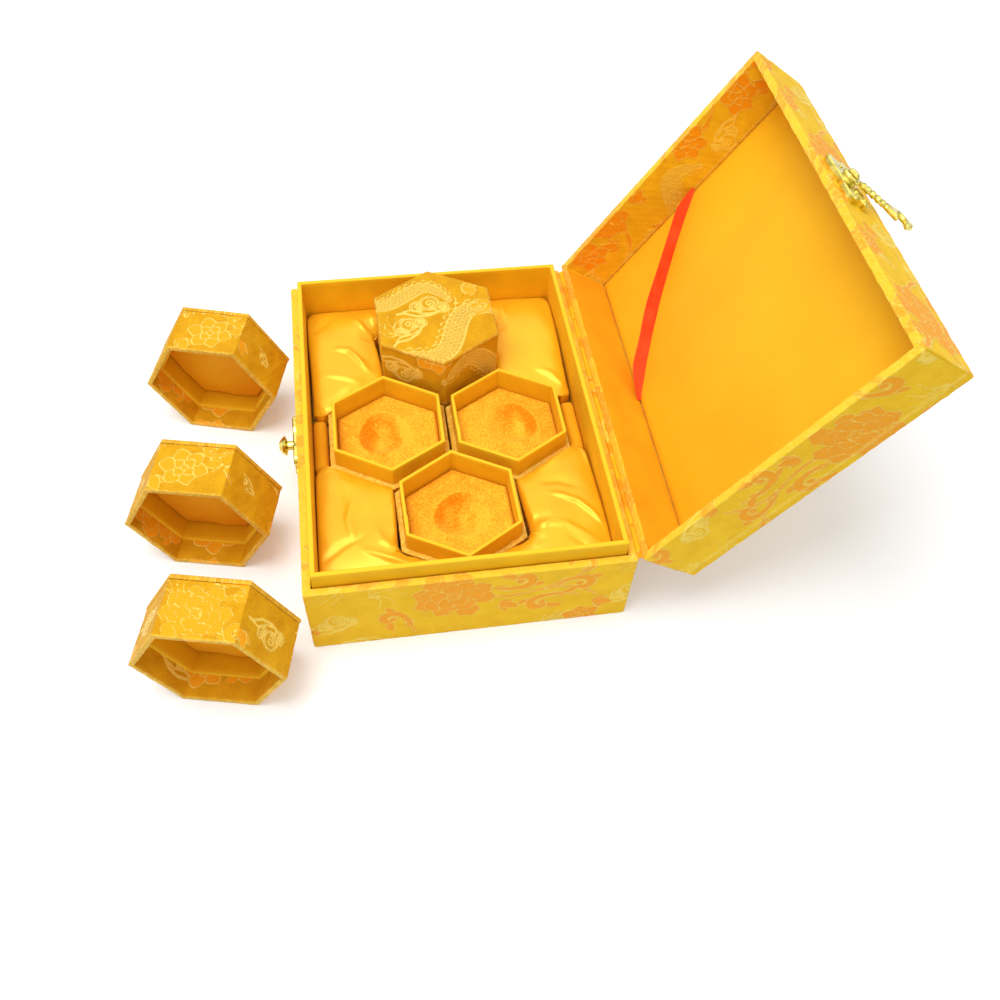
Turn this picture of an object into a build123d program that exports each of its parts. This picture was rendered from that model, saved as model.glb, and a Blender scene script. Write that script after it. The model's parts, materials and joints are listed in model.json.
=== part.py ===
"""A rectangular gift box in brocade, with four lidded hexagonal boxes in its padded insert.

The origin is the centre of the base's underside, on the table. X runs from the clasp side to the
hinge side, Y from the front end to the back end, and Z up. The lid stands open, the back hexagonal
box is closed, and the lids of the other three lie on their sides on the table.
All sizes are in millimetres.
"""

import os
from math import cos, radians, sin, sqrt

from build123d import *

os.makedirs("parts", exist_ok=True)

# Outer box: it is sized round the hexagonal boxes that it holds
side_room = 7.3
end_room = 4.86
base_height = 39.8
lid_height = 28.0
board = 2.4
cloth = 0.4
corner_radius = 0.8
rim_gap = 0.3
lid_overhang = 1.0
hinge_offset = 1.0
lid_open_angle = 124.0

# Collar that stands inside the base walls
neck_inset = 3.7
neck_board = 2.0
neck_top = 47.3
neck_edge_radius = 0.6

# Hexagonal boxes: circumradius over the brocade, and heights
hex_radius = 29.5
cup_seat = 0.3
cup_rim = 29.8
cup_floor = 2.0
cup_wall = 2.25
hex_neck_board = 1.4
hex_neck_stand = 9.5
hex_edge = 0.4
pad_recess = 9.8
ball_diameter = 30.0
dimple_depth = 5.0
dimple_floor_radius = 6.0
velvet_edge = 1.3

# Their lids
cap_height = 26.2
cap_wall = 2.0
cap_plate = 2.2
cap_plate_edge = 0.7
cap_plate_overhang = 0.3
cap_groove_height = 0.5
cap_groove_depth = 1.0
cap_roof = 1.6
cap_seat = 0.3
ring_board = 1.3
ring_setback_extra = 0.8
cap_pad_thickness = 5.0
cap_pad_edge_radius = 2.0

# Where the hexagonal boxes stand in the insert, and how far each one is off the pattern
hex_spacing = 0.8
cluster_shift = -2.5
left_shift_y = 0.4
right_shift_y = -0.8
back_shift_x = -0.1
back_shift_y = 0.6
front_shift_x = -0.5
front_shift_y = -0.2
left_turn = -0.5
right_turn = 0.5
back_turn = 1.5
front_turn = 1.0

# Loose lids on the table: gap to the box, steps along it from its front end, and turn about the vertical
loose_back_gap = 3.2
loose_back_step = 76.1
loose_back_turn = -15.0
loose_middle_gap = 8.0
loose_middle_step = 64.6
loose_middle_turn = -12.7
loose_front_gap = 2.1
loose_front_out = 6.6
loose_front_turn = -13.0

# Insert: foam block, satin cushions and rolls
insert_gap = 0.3
well_gap = 0.6
foam_top = 22.0
cushion_gap = 0.2
cushion_crown = 34.0
cushion_crown_radius = 150.0
cushion_edge_radius = 3.0
mouth_depth = 3.0
mouth_steep_angle = 15.0
mouth_flat_share = 0.4
mouth_flat_angle = 50.0
cushion_corner_radius = 5.0
roll_top = 27.8
roll_edge_share = 0.46
roll_end_gap = 1.2

# Lid lining and ribbon
lining_thickness = 1.4
lining_gap = 0.3
lining_edge_radius = 0.6
ribbon_width = 7.2
ribbon_thickness = 0.4
ribbon_end_width = 2.0
ribbon_bow = 4.0
ribbon_reach_x = 64.6
ribbon_reach_y = 78.0
ribbon_corner_gap = 1.0

# Clasp: plate on the lid, hook, and stud plate on the base
clasp_shift = 2.5
plate_length = 27.0
plate_width = 11.5
plate_thickness = 2.6
plate_lobe_radius = 3.1
plate_notch_radius = 2.3
plate_waist_radius = 14.0
plate_waist_depth = 1.1
plate_edge = 0.5
plate_to_rim = 3.6
hook_reach = 26.0
hook_thickness = 1.4
hook_bar_width = 2.0
hook_bead_radius = 1.5
hook_bead_count = 3
hook_root_radius = 4.0
hook_head_radius = 4.7
hook_throat_radius = 2.6
hook_tail_radius = 1.9
hook_relief_share = 0.35
hook_edge = 0.35
hook_rest_angle = 19.0
boss_radius = 3.4
boss_height = 0.7
rivet_radius = 1.5
rivet_clearance = 0.05
rivet_head_radius = 2.6
rivet_head_height = 1.3
hook_play = 0.15
knob_neck_radius = 2.0
knob_neck_height = 2.7
knob_radius = 4.5
knob_height = 3.6
knob_lip = 0.9
knob_shoulder_share = 0.8
knob_crown_share = 0.42
nail_radius = 0.8
nail_inset = 3.4
nail_height = 0.4
hinge_strip_height = 9.0
hinge_bead_radius = 0.7
hinge_end_gap = 3.0

# One overrun for every cut
overrun = 5.0

wall = board + 2 * cloth
floor_top = board
cup_base = floor_top + cup_seat
hex_neck_top = cup_rim + hex_neck_stand
velvet_top = hex_neck_top - pad_recess
flat_half = hex_radius * cos(radians(30))
hex_neck_radius = (flat_half - cup_wall) / cos(radians(30))
hex_pitch = 2 * flat_half + hex_spacing
row_step = hex_pitch * sqrt(3) / 2
cavity_x = hex_pitch + 2 * (flat_half + side_room)
cavity_y = 2 * (row_step + hex_radius + end_room)
box_width = cavity_x + 2 * (neck_inset + neck_board)
box_length = cavity_y + 2 * (neck_inset + neck_board)
hinge_x = box_width / 2 + hinge_offset
hinge_z = base_height + rim_gap
lid_length = box_length + 2 * lid_overhang
lid_near_x = -hinge_offset
lid_far_x = lid_near_x - box_width
lining_face = lid_height - cloth - board - lining_thickness
pivot_rise = plate_to_rim + plate_width / 2
stud_z = hinge_z + pivot_rise - hook_reach
hook_low = plate_thickness + boss_height + hook_play

loose_front_y = -box_length / 2 - loose_front_out
loose_middle_y = loose_front_y + loose_middle_step
loose_back_y = loose_middle_y + loose_back_step

# A loose lid's top plate stands out past its walls, so it is what the lid rests on
cap_lift = cap_plate_overhang * cos(radians(30))


def save(name, part):
    """Write one node, closed up into plain solids."""
    part.label = name
    export_step(part, os.path.join("parts", name + ".step"))


def block(x_low, x_high, y_low, y_high, z_low, z_high):
    """A box between two corners."""
    size = (x_high - x_low, y_high - y_low, z_high - z_low)
    middle = ((x_low + x_high) / 2, (y_low + y_high) / 2, (z_low + z_high) / 2)
    return Pos(*middle) * Box(*size)


def centred_block(x_size, y_size, z_low, z_high):
    """A box centred on the Z axis."""
    return block(-x_size / 2, x_size / 2, -y_size / 2, y_size / 2, z_low, z_high)


def hex_outline(radius):
    """A regular hexagon with corners on the Y axis."""
    return RegularPolygon(radius, 6, rotation=30)


def hex_block(radius, z_low, z_high):
    """A hexagonal prism on the Z axis, with corners towards +Y and -Y."""
    return Pos(0, 0, z_low) * extrude(hex_outline(radius), z_high - z_low)


def top_edges(part):
    """The edges round a part's highest face."""
    return part.faces().sort_by(Axis.Z)[-1].edges()


def bottom_edges(part):
    """The edges round a part's lowest face."""
    return part.faces().sort_by(Axis.Z)[0].edges()


def in_lid(part):
    """Carry a part from the lid's own frame, with the hinge line as its Y axis, to the open lid."""
    return Pos(hinge_x, 0, hinge_z) * Rot(0, lid_open_angle, 0) * part


# Where each hexagonal box stands: centre and turn
cup_places = {
    "left": (-hex_pitch / 2, cluster_shift + left_shift_y, left_turn),
    "right": (hex_pitch / 2, cluster_shift + right_shift_y, right_turn),
    "back": (back_shift_x, cluster_shift + row_step + back_shift_y, back_turn),
    "front": (front_shift_x, cluster_shift - row_step + front_shift_y, front_turn),
}


def at_cup(side):
    """The place of one hexagonal box, on the tray's floor."""
    x, y, turn = cup_places[side]
    return Pos(x, y, cup_base) * Rot(0, 0, turn)


# Base tray and its cloth

def base_board():
    """Greyboard tray: floor and four walls."""
    outer = centred_block(box_width - 2 * cloth, box_length - 2 * cloth, 0, base_height - cloth)
    inner_x = box_width - 2 * (cloth + board)
    inner_y = box_length - 2 * (cloth + board)
    return outer - centred_block(inner_x, inner_y, floor_top, base_height + overrun)


def base_brocade():
    """Cloth over the outside of the walls, over their top edge and down their inner face."""
    skin = centred_block(box_width, box_length, 0, base_height)
    skin = fillet(skin.edges().filter_by(Axis.Z), corner_radius)
    skin = chamfer(top_edges(skin), corner_radius / 2)
    inside = centred_block(box_width - 2 * wall, box_length - 2 * wall, -overrun, base_height + overrun)
    under = centred_block(box_width - 2 * cloth, box_length - 2 * cloth, -overrun, floor_top)
    return skin - inside - base_board() - under


def neck_frame():
    """Papered collar that stands on the floor and rises above the walls to locate the lid."""
    outer_x = cavity_x + 2 * neck_board
    outer_y = cavity_y + 2 * neck_board
    ring = centred_block(outer_x, outer_y, floor_top, neck_top)
    ring -= centred_block(cavity_x, cavity_y, -overrun, neck_top + overrun)
    return fillet(top_edges(ring), neck_edge_radius)


# Insert

def well(side, gap, z_low, z_high):
    """The room of one hexagonal box, with a gap round it."""
    x, y, turn = cup_places[side]
    return Pos(x, y, 0) * Rot(0, 0, turn) * hex_block(hex_radius + gap / cos(radians(30)), z_low, z_high)


def well_mouth(side, gap):
    """Funnel that draws a cushion's edge in round one hexagonal box."""
    x, y, turn = cup_places[side]
    outline = hex_outline(hex_radius + gap / cos(radians(30)))
    low = cushion_crown - mouth_depth
    steep = Pos(0, 0, low) * extrude(outline, mouth_depth + overrun, taper=-mouth_steep_angle)
    high = cushion_crown - mouth_depth * mouth_flat_share
    flat = Pos(0, 0, high) * extrude(outline, mouth_depth, taper=-mouth_flat_angle)
    return Pos(x, y, 0) * Rot(0, 0, turn) * (steep + flat)


def middle_room(z_low, z_high):
    """The room between the boxes, where no insert stands."""
    y_high = cup_places["back"][1] - hex_radius / 2
    y_low = cup_places["front"][1] + hex_radius / 2
    return block(-hex_pitch / 2, hex_pitch / 2, y_low, y_high, z_low, z_high)


def cut_wells(insert, gap, z_low, z_high):
    """Take the boxes' room out of a piece of the insert."""
    insert -= middle_room(z_low, z_high)
    for side in cup_places:
        insert -= well(side, gap, z_low, z_high)
    return insert


def foam_insert():
    """Die-cut foam block that holds the hexagonal boxes upright."""
    foam = centred_block(cavity_x - 2 * insert_gap, cavity_y - 2 * insert_gap, floor_top, foam_top)
    return cut_wells(foam, well_gap, -overrun, foam_top + overrun)


def cushion(x_low, x_high, y_low, y_high, sides):
    """One satin cushion: crowned, with its top edge drawn in, and cut round the boxes."""
    pad = block(x_low, x_high, y_low, y_high, foam_top + cushion_gap, cushion_crown + overrun)
    corners = [e for e in pad.edges().filter_by(Axis.Z) if on_cavity_corner(e.center())]
    pad = fillet(corners, cushion_corner_radius)
    middle = ((x_low + x_high) / 2, (y_low + y_high) / 2, cushion_crown - cushion_crown_radius)
    pad = pad & Pos(*middle) * Rot(0, 90, 0) * Cylinder(cushion_crown_radius, box_length)
    pad = fillet(top_edges(pad), cushion_edge_radius)
    gap = well_gap + cushion_gap
    pad = cut_wells(pad, gap, -overrun, cushion_crown + overrun)
    for side in sides:
        pad -= well_mouth(side, gap)
    return pad


def on_cavity_corner(point):
    """True near one of the four corners of the room inside the collar."""
    near_x = abs(point.X) > cavity_x / 2 - cushion_edge_radius
    return near_x and abs(point.Y) > cavity_y / 2 - cushion_edge_radius


def satin_roll(side):
    """Low padded strip between a side box's outer face and the collar."""
    x, y, turn = cup_places[side]
    sign = 1 if x > 0 else -1
    inner = abs(x) + flat_half + well_gap + cushion_gap
    outer = cavity_x / 2 - insert_gap
    half = hex_radius / 2 - roll_end_gap
    low, high = sorted((sign * inner, sign * outer))
    strip = block(low, high, y - half, y + half, foam_top + cushion_gap, roll_top)
    return fillet(top_edges(strip), roll_edge_share * min(high - low, roll_top - foam_top))


# Hexagonal boxes

def cup_shell():
    """Brocade-covered board cup, from its underside at zero."""
    rim = cup_rim - cup_base
    shell = hex_block(hex_radius, 0, rim)
    shell = chamfer(top_edges(shell), hex_edge)
    return shell - hex_block(hex_neck_radius, cup_floor, rim + overrun)


def cup_neck():
    """Papered liner that stands in the cup and rises above its rim."""
    top = hex_neck_top - cup_base
    ring = hex_block(hex_neck_radius, cup_floor, top)
    ring -= hex_block(hex_neck_radius - hex_neck_board / cos(radians(30)), cup_floor - overrun, top + overrun)
    return chamfer(top_edges(ring), hex_edge)


def dimple_radius(height):
    """How wide the ball is at a height over its lowest point."""
    return sqrt(height * (ball_diameter - height))


def dimple():
    """Room for the ball: a cone from a flat floor to the pad's top, and straight on past it."""
    foot = (Align.CENTER, Align.CENTER, Align.MIN)
    rim = dimple_radius(dimple_depth)
    cone = Cone(dimple_floor_radius, rim, dimple_depth, align=foot)
    return cone + Pos(0, 0, dimple_depth) * Cylinder(rim, overrun, align=foot)


def velvet_pad():
    """Velvet-covered block with a round dimple for the ball that the box holds."""
    radius = hex_neck_radius - (hex_neck_board + cushion_gap) / cos(radians(30))
    top = velvet_top - cup_base
    pad = chamfer(top_edges(hex_block(radius, cup_floor, top)), velvet_edge)
    return pad - Pos(0, 0, top - dimple_depth) * dimple()


# Lids of the hexagonal boxes, mouth down at zero

def cap_shell():
    """Brocade-covered board lid without its top plate."""
    top = cap_height - cap_plate - cap_groove_height
    shell = hex_block(hex_radius, 0, top)
    shell = chamfer(bottom_edges(shell), hex_edge)
    return shell - hex_block(hex_radius - cap_wall / cos(radians(30)), -overrun, top - cap_roof)


def cap_top():
    """Padded top plate on a narrower step, which leaves the dark line under its edge."""
    foot = cap_height - cap_plate - cap_groove_height
    step = hex_block(hex_radius - cap_groove_depth, foot, foot + cap_groove_height)
    plate = hex_block(hex_radius + cap_plate_overhang, foot + cap_groove_height, cap_height)
    plate = chamfer(top_edges(plate), cap_plate_edge)
    return step + plate


def cap_ring():
    """Papered inner ring that the cup's liner comes up to."""
    outer = hex_radius - cap_wall / cos(radians(30))
    low = hex_neck_stand - cap_seat + ring_setback_extra
    high = cap_height - cap_plate - cap_groove_height - cap_roof
    ring = hex_block(outer, low, high)
    return ring - hex_block(outer - ring_board / cos(radians(30)), low - overrun, high + overrun)


def cap_pad():
    """Satin pad under the lid's roof."""
    outer = hex_radius - (cap_wall + ring_board + cushion_gap) / cos(radians(30))
    high = cap_height - cap_plate - cap_groove_height - cap_roof
    pad = hex_block(outer, high - cap_pad_thickness, high)
    return fillet(bottom_edges(pad), cap_pad_edge_radius)


def on_cup(side):
    """The place of a lid that is on its box."""
    x, y, turn = cup_places[side]
    return Pos(x, y, cup_rim + cap_seat) * Rot(0, 0, turn)


def on_table(gap, y, turn):
    """The place of a lid that lies on one flat side beside the box, its mouth towards -Y."""
    axis = (-sin(radians(turn)), cos(radians(turn)), 0)
    x = -box_width / 2 - gap - hex_radius * axis[1] - cap_height / 2 * abs(axis[0])
    mouth = (x - axis[0] * cap_height / 2, y - axis[1] * cap_height / 2, flat_half + cap_lift)
    return Plane(origin=mouth, x_dir=(0, 0, 1), z_dir=axis).location


# Outer lid, in its own frame: hinge line on the Y axis, closed

def lid_outer():
    """The lid's outside, over the cloth."""
    body = block(lid_far_x, lid_near_x, -lid_length / 2, lid_length / 2, 0, lid_height)
    body = fillet(body.edges().filter_by(Axis.Z), corner_radius)
    return chamfer(top_edges(body), corner_radius / 2)


def lid_board():
    """Greyboard tray of the lid, mouth down."""
    half = lid_length / 2 - cloth
    outer = block(lid_far_x + cloth, lid_near_x - cloth, -half, half, cloth, lid_height - cloth)
    inset = cloth + board
    half -= board
    room = block(lid_far_x + inset, lid_near_x - inset, -half, half, -overrun, lid_height - inset)
    return outer - room


def lid_brocade():
    """Cloth over the lid's outside, its rim, and the inner faces of all walls but the hinge wall."""
    inset = cloth + board
    half = lid_length / 2 - wall
    room = block(lid_far_x + wall, lid_near_x - inset, -half, half, -overrun, lid_height - inset)
    return lid_outer() - room - lid_board()


def lid_hinge_lining():
    """Plain paper strip on the inner face of the hinge wall."""
    outer = lid_near_x - cloth - board
    half = lid_length / 2 - wall - lining_gap
    return block(outer - cloth, outer, -half, half, cloth, lining_face)


def lid_top_lining():
    """Padded satin panel under the lid's top."""
    half = lid_length / 2 - wall - lining_gap
    low = lid_far_x + wall + lining_gap
    high = lid_near_x - cloth - board - lining_gap
    panel = block(low, high, -half, half, lining_face, lining_face + lining_thickness)
    return fillet(bottom_edges(panel), lining_edge_radius)


def leaflet_ribbon():
    """Ribbon across the lid's inner corner, on edge on the lining, to hold a leaflet."""
    start_x = lid_near_x - wall - ribbon_corner_gap
    end_y = lid_length / 2 - wall - ribbon_corner_gap
    start = Vector(start_x, end_y - ribbon_reach_y)
    end = Vector(start_x - ribbon_reach_x, end_y)
    along = (end - start).normalized()
    side = Vector(-along.Y, along.X) * (-1)
    middle = (start + end) * 0.5 + side * ribbon_bow
    shift = side * ribbon_thickness
    inner = ThreePointArc(start, middle, end)
    outer = ThreePointArc(end + shift, middle + shift, start + shift)
    plan = make_face([inner, Line(end, end + shift), outer, Line(start + shift, start)])
    band = Pos(0, 0, lining_face - ribbon_width) * extrude(plan, ribbon_width)
    span = (end - start).length
    corner = (start.X, start.Y, lining_face)
    plane = Plane(origin=corner, x_dir=(along.X, along.Y, 0), z_dir=(side.X, side.Y, 0))
    up = 1 if plane.y_dir.Z > 0 else -1
    deep = -up * ribbon_width
    shallow = -up * ribbon_end_width
    edge = Spline((0, shallow), (span / 2, deep), (span, shallow))
    far_end = Line((span, shallow), (span, 0))
    near_end = Line((0, 0), (0, shallow))
    face = make_face([edge, far_end, Line((span, 0), (0, 0)), near_end])
    keep = extrude(plane * face, ribbon_bow + 2 * ribbon_thickness, both=True)
    return band & keep


# Clasp, in a flat frame: X along the box's length, Y towards the lid's top, Z out of the wall

def scalloped_plate():
    """Cast plate with two lobes and a notch at each end, and waisted sides."""
    half = plate_length / 2 - plate_lobe_radius
    lobe_y = plate_width / 2 - plate_lobe_radius
    outline = Rectangle(2 * half, plate_width)
    for x in (-half, half):
        for y in (-lobe_y, lobe_y):
            outline += Pos(x, y) * Circle(plate_lobe_radius)
        outline += Pos(x, 0) * Rectangle(plate_lobe_radius, 2 * lobe_y)
    for x in (-plate_length / 2, plate_length / 2):
        outline -= Pos(x, 0) * Circle(plate_notch_radius)
    for sign in (-1, 1):
        reach = sign * (plate_width / 2 + plate_waist_radius - plate_waist_depth)
        outline -= Pos(0, reach) * Circle(plate_waist_radius)
    plate = extrude(outline, plate_thickness)
    return chamfer(top_edges(plate), plate_edge)


def clasp_plate():
    """The lid's plate, with the boss that the hook turns on."""
    return scalloped_plate() + Pos(0, 0, plate_thickness) * Cylinder(
        boss_radius, boss_height, align=(Align.CENTER, Align.CENTER, Align.MIN)
    )


def plate_nails():
    """Two bevelled nails, one at each end of a plate."""
    nails = Part()
    for sign in (-1, 1):
        head = Cylinder(nail_radius, nail_height, align=(Align.CENTER, Align.CENTER, Align.MIN))
        head = chamfer(top_edges(head), nail_height / 2)
        nails += Pos(sign * (plate_length / 2 - nail_inset - plate_notch_radius), 0, plate_thickness) * head
    return nails


def clasp_rivet():
    """Rivet through the hook's eye, with a bevelled head."""
    shank_top = hook_low + hook_thickness + hook_play
    shank = Pos(0, 0, plate_thickness + boss_height) * Cylinder(
        rivet_radius, shank_top - plate_thickness - boss_height, align=(Align.CENTER, Align.CENTER, Align.MIN)
    )
    head = Pos(0, 0, shank_top) * Cylinder(
        rivet_head_radius, rivet_head_height, align=(Align.CENTER, Align.CENTER, Align.MIN)
    )
    head = chamfer(top_edges(head), rivet_head_height - hook_edge)
    return shank + head


def hook_outline():
    """Hook with a faceted bar, from its eye at zero to its open head at hook_reach, along +X."""
    bar_start = hook_root_radius - hook_edge
    bar_end = hook_reach - hook_head_radius + hook_edge
    bar = bar_end - bar_start
    outline = Circle(hook_root_radius)
    outline += Pos((bar_start + bar_end) / 2, 0) * Rectangle(bar, hook_bar_width)
    for i in range(hook_bead_count):
        share = (i + 1) / (hook_bead_count + 2)
        outline += Pos(bar_start + share * bar, 0) * RegularPolygon(hook_bead_radius, 6)
    shoulder = hook_reach - 2 * hook_head_radius
    flare = [(shoulder, hook_bar_width / 2), (hook_reach, hook_head_radius)]
    flare += [(hook_reach, -hook_head_radius), (shoulder, -hook_bar_width / 2)]
    outline += make_face(Polyline(*flare, close=True))
    outline += Pos(hook_reach, 0) * Circle(hook_head_radius)
    outline += Pos(hook_reach + hook_head_radius, hook_tail_radius / 2) * Circle(hook_tail_radius)
    outline -= Pos(hook_reach, 0) * Circle(hook_throat_radius)
    outline -= Pos(hook_reach, -hook_head_radius) * Rectangle(2 * hook_throat_radius, 2 * hook_head_radius)
    return outline


def clasp_hook():
    """Cast hook that swings on the rivet and catches the stud's neck."""
    outline = hook_outline()
    relief = hook_thickness * hook_relief_share
    hook = extrude(outline, hook_thickness - relief)
    raised = offset(outline, -hook_edge, kind=Kind.ARC)
    hook += Pos(0, 0, hook_thickness - relief) * extrude(raised, relief)
    hook -= Cylinder(rivet_radius + rivet_clearance, box_width)
    return Pos(0, 0, hook_low) * hook


def stud_knob():
    """Mushroom knob of the stud plate: neck, flared lip and a head turned in two slopes."""
    foot = (Align.CENTER, Align.CENTER, Align.MIN)
    lip_z = plate_thickness + knob_neck_height
    neck = Pos(0, 0, plate_thickness) * Cylinder(knob_neck_radius, knob_neck_height, align=foot)
    lip = Pos(0, 0, lip_z) * Cone(knob_neck_radius, knob_radius, knob_lip, align=foot)
    slope = (knob_height - knob_lip) / 2
    shoulder = Cone(knob_radius, knob_radius * knob_shoulder_share, slope, align=foot)
    crown = Cone(knob_radius * knob_shoulder_share, knob_radius * knob_crown_share, slope, align=foot)
    return neck + lip + Pos(0, 0, lip_z + knob_lip) * (shoulder + Pos(0, 0, slope) * crown)


def on_lid_wall(part):
    """Put a clasp part on the lid's clasp wall, at the hook's pivot."""
    place = Plane(origin=(lid_far_x, clasp_shift, pivot_rise), x_dir=(0, -1, 0), z_dir=(-1, 0, 0))
    return in_lid(place.location * part)


def on_base_wall(part):
    """Put a clasp part on the base's clasp wall, at the stud."""
    place = Plane(origin=(-box_width / 2, clasp_shift, stud_z), x_dir=(0, -1, 0), z_dir=(-1, 0, 0))
    return place.location * part


def cloth_hinge():
    """Cloth strip glued to the base wall, folded round the hinge line."""
    half = box_length / 2 - hinge_end_gap
    wall_x = box_width / 2
    strip = block(wall_x, wall_x + cloth, -half, half, hinge_z - hinge_strip_height, hinge_z)
    bead = Pos(hinge_x, 0, hinge_z) * Rot(90, 0, 0) * Cylinder(hinge_bead_radius, 2 * half)
    web = block(wall_x, hinge_x, -half, half, hinge_z - cloth, hinge_z)
    return strip + bead + web


def build():
    """Write every node."""
    save("base_board", base_board())
    save("base_brocade", base_brocade())
    save("neck_frame", neck_frame())
    save("foam_insert", foam_insert())
    x_end = cavity_x / 2 - insert_gap
    y_end = cavity_y / 2 - insert_gap
    back_start = cluster_shift + hex_radius / 2
    front_start = cluster_shift - hex_radius / 2
    back_sides = ("back", "left", "right")
    save("satin_cushion_back", cushion(-x_end, x_end, back_start, y_end, back_sides))
    seam = front_shift_x - insert_gap / 2
    left = cushion(-x_end, seam, -y_end, front_start, ("front", "left"))
    save("satin_cushion_front_left", left)
    right = cushion(seam + insert_gap, x_end, -y_end, front_start, ("front", "right"))
    save("satin_cushion_front_right", right)
    for side in ("left", "right"):
        save("satin_roll_" + side, satin_roll(side))
    save("cloth_hinge", cloth_hinge())
    save("stud_plate", on_base_wall(scalloped_plate()))
    save("stud_nails", on_base_wall(plate_nails()))
    save("stud_knob", on_base_wall(stud_knob()))

    for side in cup_places:
        save("cup_shell_" + side, at_cup(side) * cup_shell())
        save("cup_neck_" + side, at_cup(side) * cup_neck())
        save("velvet_pad_" + side, at_cup(side) * velvet_pad())

    cap_locations = {
        "back": on_cup("back"),
        "loose_back": on_table(loose_back_gap, loose_back_y, loose_back_turn),
        "loose_middle": on_table(loose_middle_gap, loose_middle_y, loose_middle_turn),
        "loose_front": on_table(loose_front_gap, loose_front_y, loose_front_turn),
    }
    for name, place in cap_locations.items():
        save("cap_shell_" + name, place * cap_shell())
        save("cap_top_" + name, place * cap_top())
        save("cap_ring_" + name, place * cap_ring())
        save("cap_pad_" + name, place * cap_pad())

    save("lid_board", in_lid(lid_board()))
    save("lid_brocade", in_lid(lid_brocade()))
    save("lid_hinge_lining", in_lid(lid_hinge_lining()))
    save("lid_top_lining", in_lid(lid_top_lining()))
    save("leaflet_ribbon", in_lid(leaflet_ribbon()))
    save("clasp_plate", on_lid_wall(clasp_plate()))
    save("clasp_nails", on_lid_wall(plate_nails()))
    save("clasp_rivet", on_lid_wall(clasp_rivet()))
    save("clasp_hook", on_lid_wall(Rot(0, 0, 90 - hook_rest_angle) * clasp_hook()))


build()
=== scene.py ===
"""A brocade gift box, open, with hexagonal boxes in its satin insert and their lids beside it.

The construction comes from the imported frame. This script dresses it: woven brocade over the boards,
simulated satin cushions, velvet pads, papered liners, cast fittings and a ribbon.
Lengths in the classes are millimetres, and every mesh is placed in metres.
"""

import json
import logging
from collections.abc import Sequence
from dataclasses import dataclass, field
from enum import Enum
from math import atan2, ceil, cos, pi, radians, sin, sqrt, tan

import bpy
import numpy as np
from bpy.types import Material, Node, NodeSocket, NodeTree, Object, Scene
from mathutils import Matrix, Vector, noise

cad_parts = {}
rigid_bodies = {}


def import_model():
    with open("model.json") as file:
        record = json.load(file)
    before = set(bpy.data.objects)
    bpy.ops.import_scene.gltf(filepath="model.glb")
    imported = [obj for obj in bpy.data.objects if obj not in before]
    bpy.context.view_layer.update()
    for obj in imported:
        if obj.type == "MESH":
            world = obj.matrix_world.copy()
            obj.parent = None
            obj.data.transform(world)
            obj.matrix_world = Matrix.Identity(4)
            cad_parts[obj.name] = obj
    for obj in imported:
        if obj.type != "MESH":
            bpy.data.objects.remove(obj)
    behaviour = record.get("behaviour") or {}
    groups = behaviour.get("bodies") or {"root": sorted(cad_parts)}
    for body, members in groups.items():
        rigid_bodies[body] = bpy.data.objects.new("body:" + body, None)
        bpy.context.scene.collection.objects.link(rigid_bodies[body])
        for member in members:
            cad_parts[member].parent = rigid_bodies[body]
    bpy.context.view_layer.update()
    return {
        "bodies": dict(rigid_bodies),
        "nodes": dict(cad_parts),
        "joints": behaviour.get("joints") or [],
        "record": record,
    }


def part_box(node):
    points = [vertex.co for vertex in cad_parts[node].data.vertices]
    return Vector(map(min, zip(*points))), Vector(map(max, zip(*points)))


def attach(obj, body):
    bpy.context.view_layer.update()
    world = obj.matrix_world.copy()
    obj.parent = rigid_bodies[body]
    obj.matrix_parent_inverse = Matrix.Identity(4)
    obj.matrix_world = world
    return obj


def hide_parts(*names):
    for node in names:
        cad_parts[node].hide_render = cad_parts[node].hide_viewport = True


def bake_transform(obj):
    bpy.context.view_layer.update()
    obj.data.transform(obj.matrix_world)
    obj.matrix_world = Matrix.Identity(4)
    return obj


LOG = logging.getLogger("brocade_box")
IDENTITY = Matrix.Identity(4)

# One millimetre in metres
MM = 0.001

# Half the angle that one side of a hexagon takes up
HEX_ANGLE = radians(30)

# Lengths in millimetres below and beyond all others
TINY = 1e-6
FAR = 1e9

# Two lengths in the plane or two ends of a range, and what a node's socket takes
Pair = tuple[float, float]
Value = float | NodeSocket


class Side(Enum):
    """The four hexagonal boxes, by where they stand in the insert."""

    LEFT = "left"
    RIGHT = "right"
    BACK = "back"
    FRONT = "front"


class Run(Enum):
    """How the threads run on a wrapped wall: along its perimeter, or on from the top panel."""

    ROUND = "round"
    FOLDED = "folded"


def linear(colour: str) -> tuple[float, float, float, float]:
    """Turn an sRGB hex colour into linear light.

    Args:
        colour: Six hex digits.

    Returns:
        Red, green, blue and an alpha of 1.
    """
    values = [int(colour[i : i + 2], 16) / 255 for i in (0, 2, 4)]
    light = [v / 12.92 if v <= 0.04045 else ((v + 0.055) / 1.055) ** 2.4 for v in values]
    return light[0], light[1], light[2], 1.0


def add_node(tree: NodeTree, kind: str, inputs: dict | None = None, **settings: object) -> Node:
    """Add one node with its settings, socket values and links.

    Args:
        tree: The node tree that gets the node.
        kind: Blender's name for the node's type.
        inputs: Socket name or number to a value, or to the socket that feeds it.
        settings: Attributes set on the node before its sockets.

    Returns:
        The new node.
    """
    made = tree.nodes.new(kind)
    for name, value in settings.items():
        setattr(made, name, value)
    for key, value in (inputs or {}).items():
        socket = made.inputs[key]
        if isinstance(value, NodeSocket):
            tree.links.new(value, socket)
        else:
            socket.default_value = value
    return made


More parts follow.
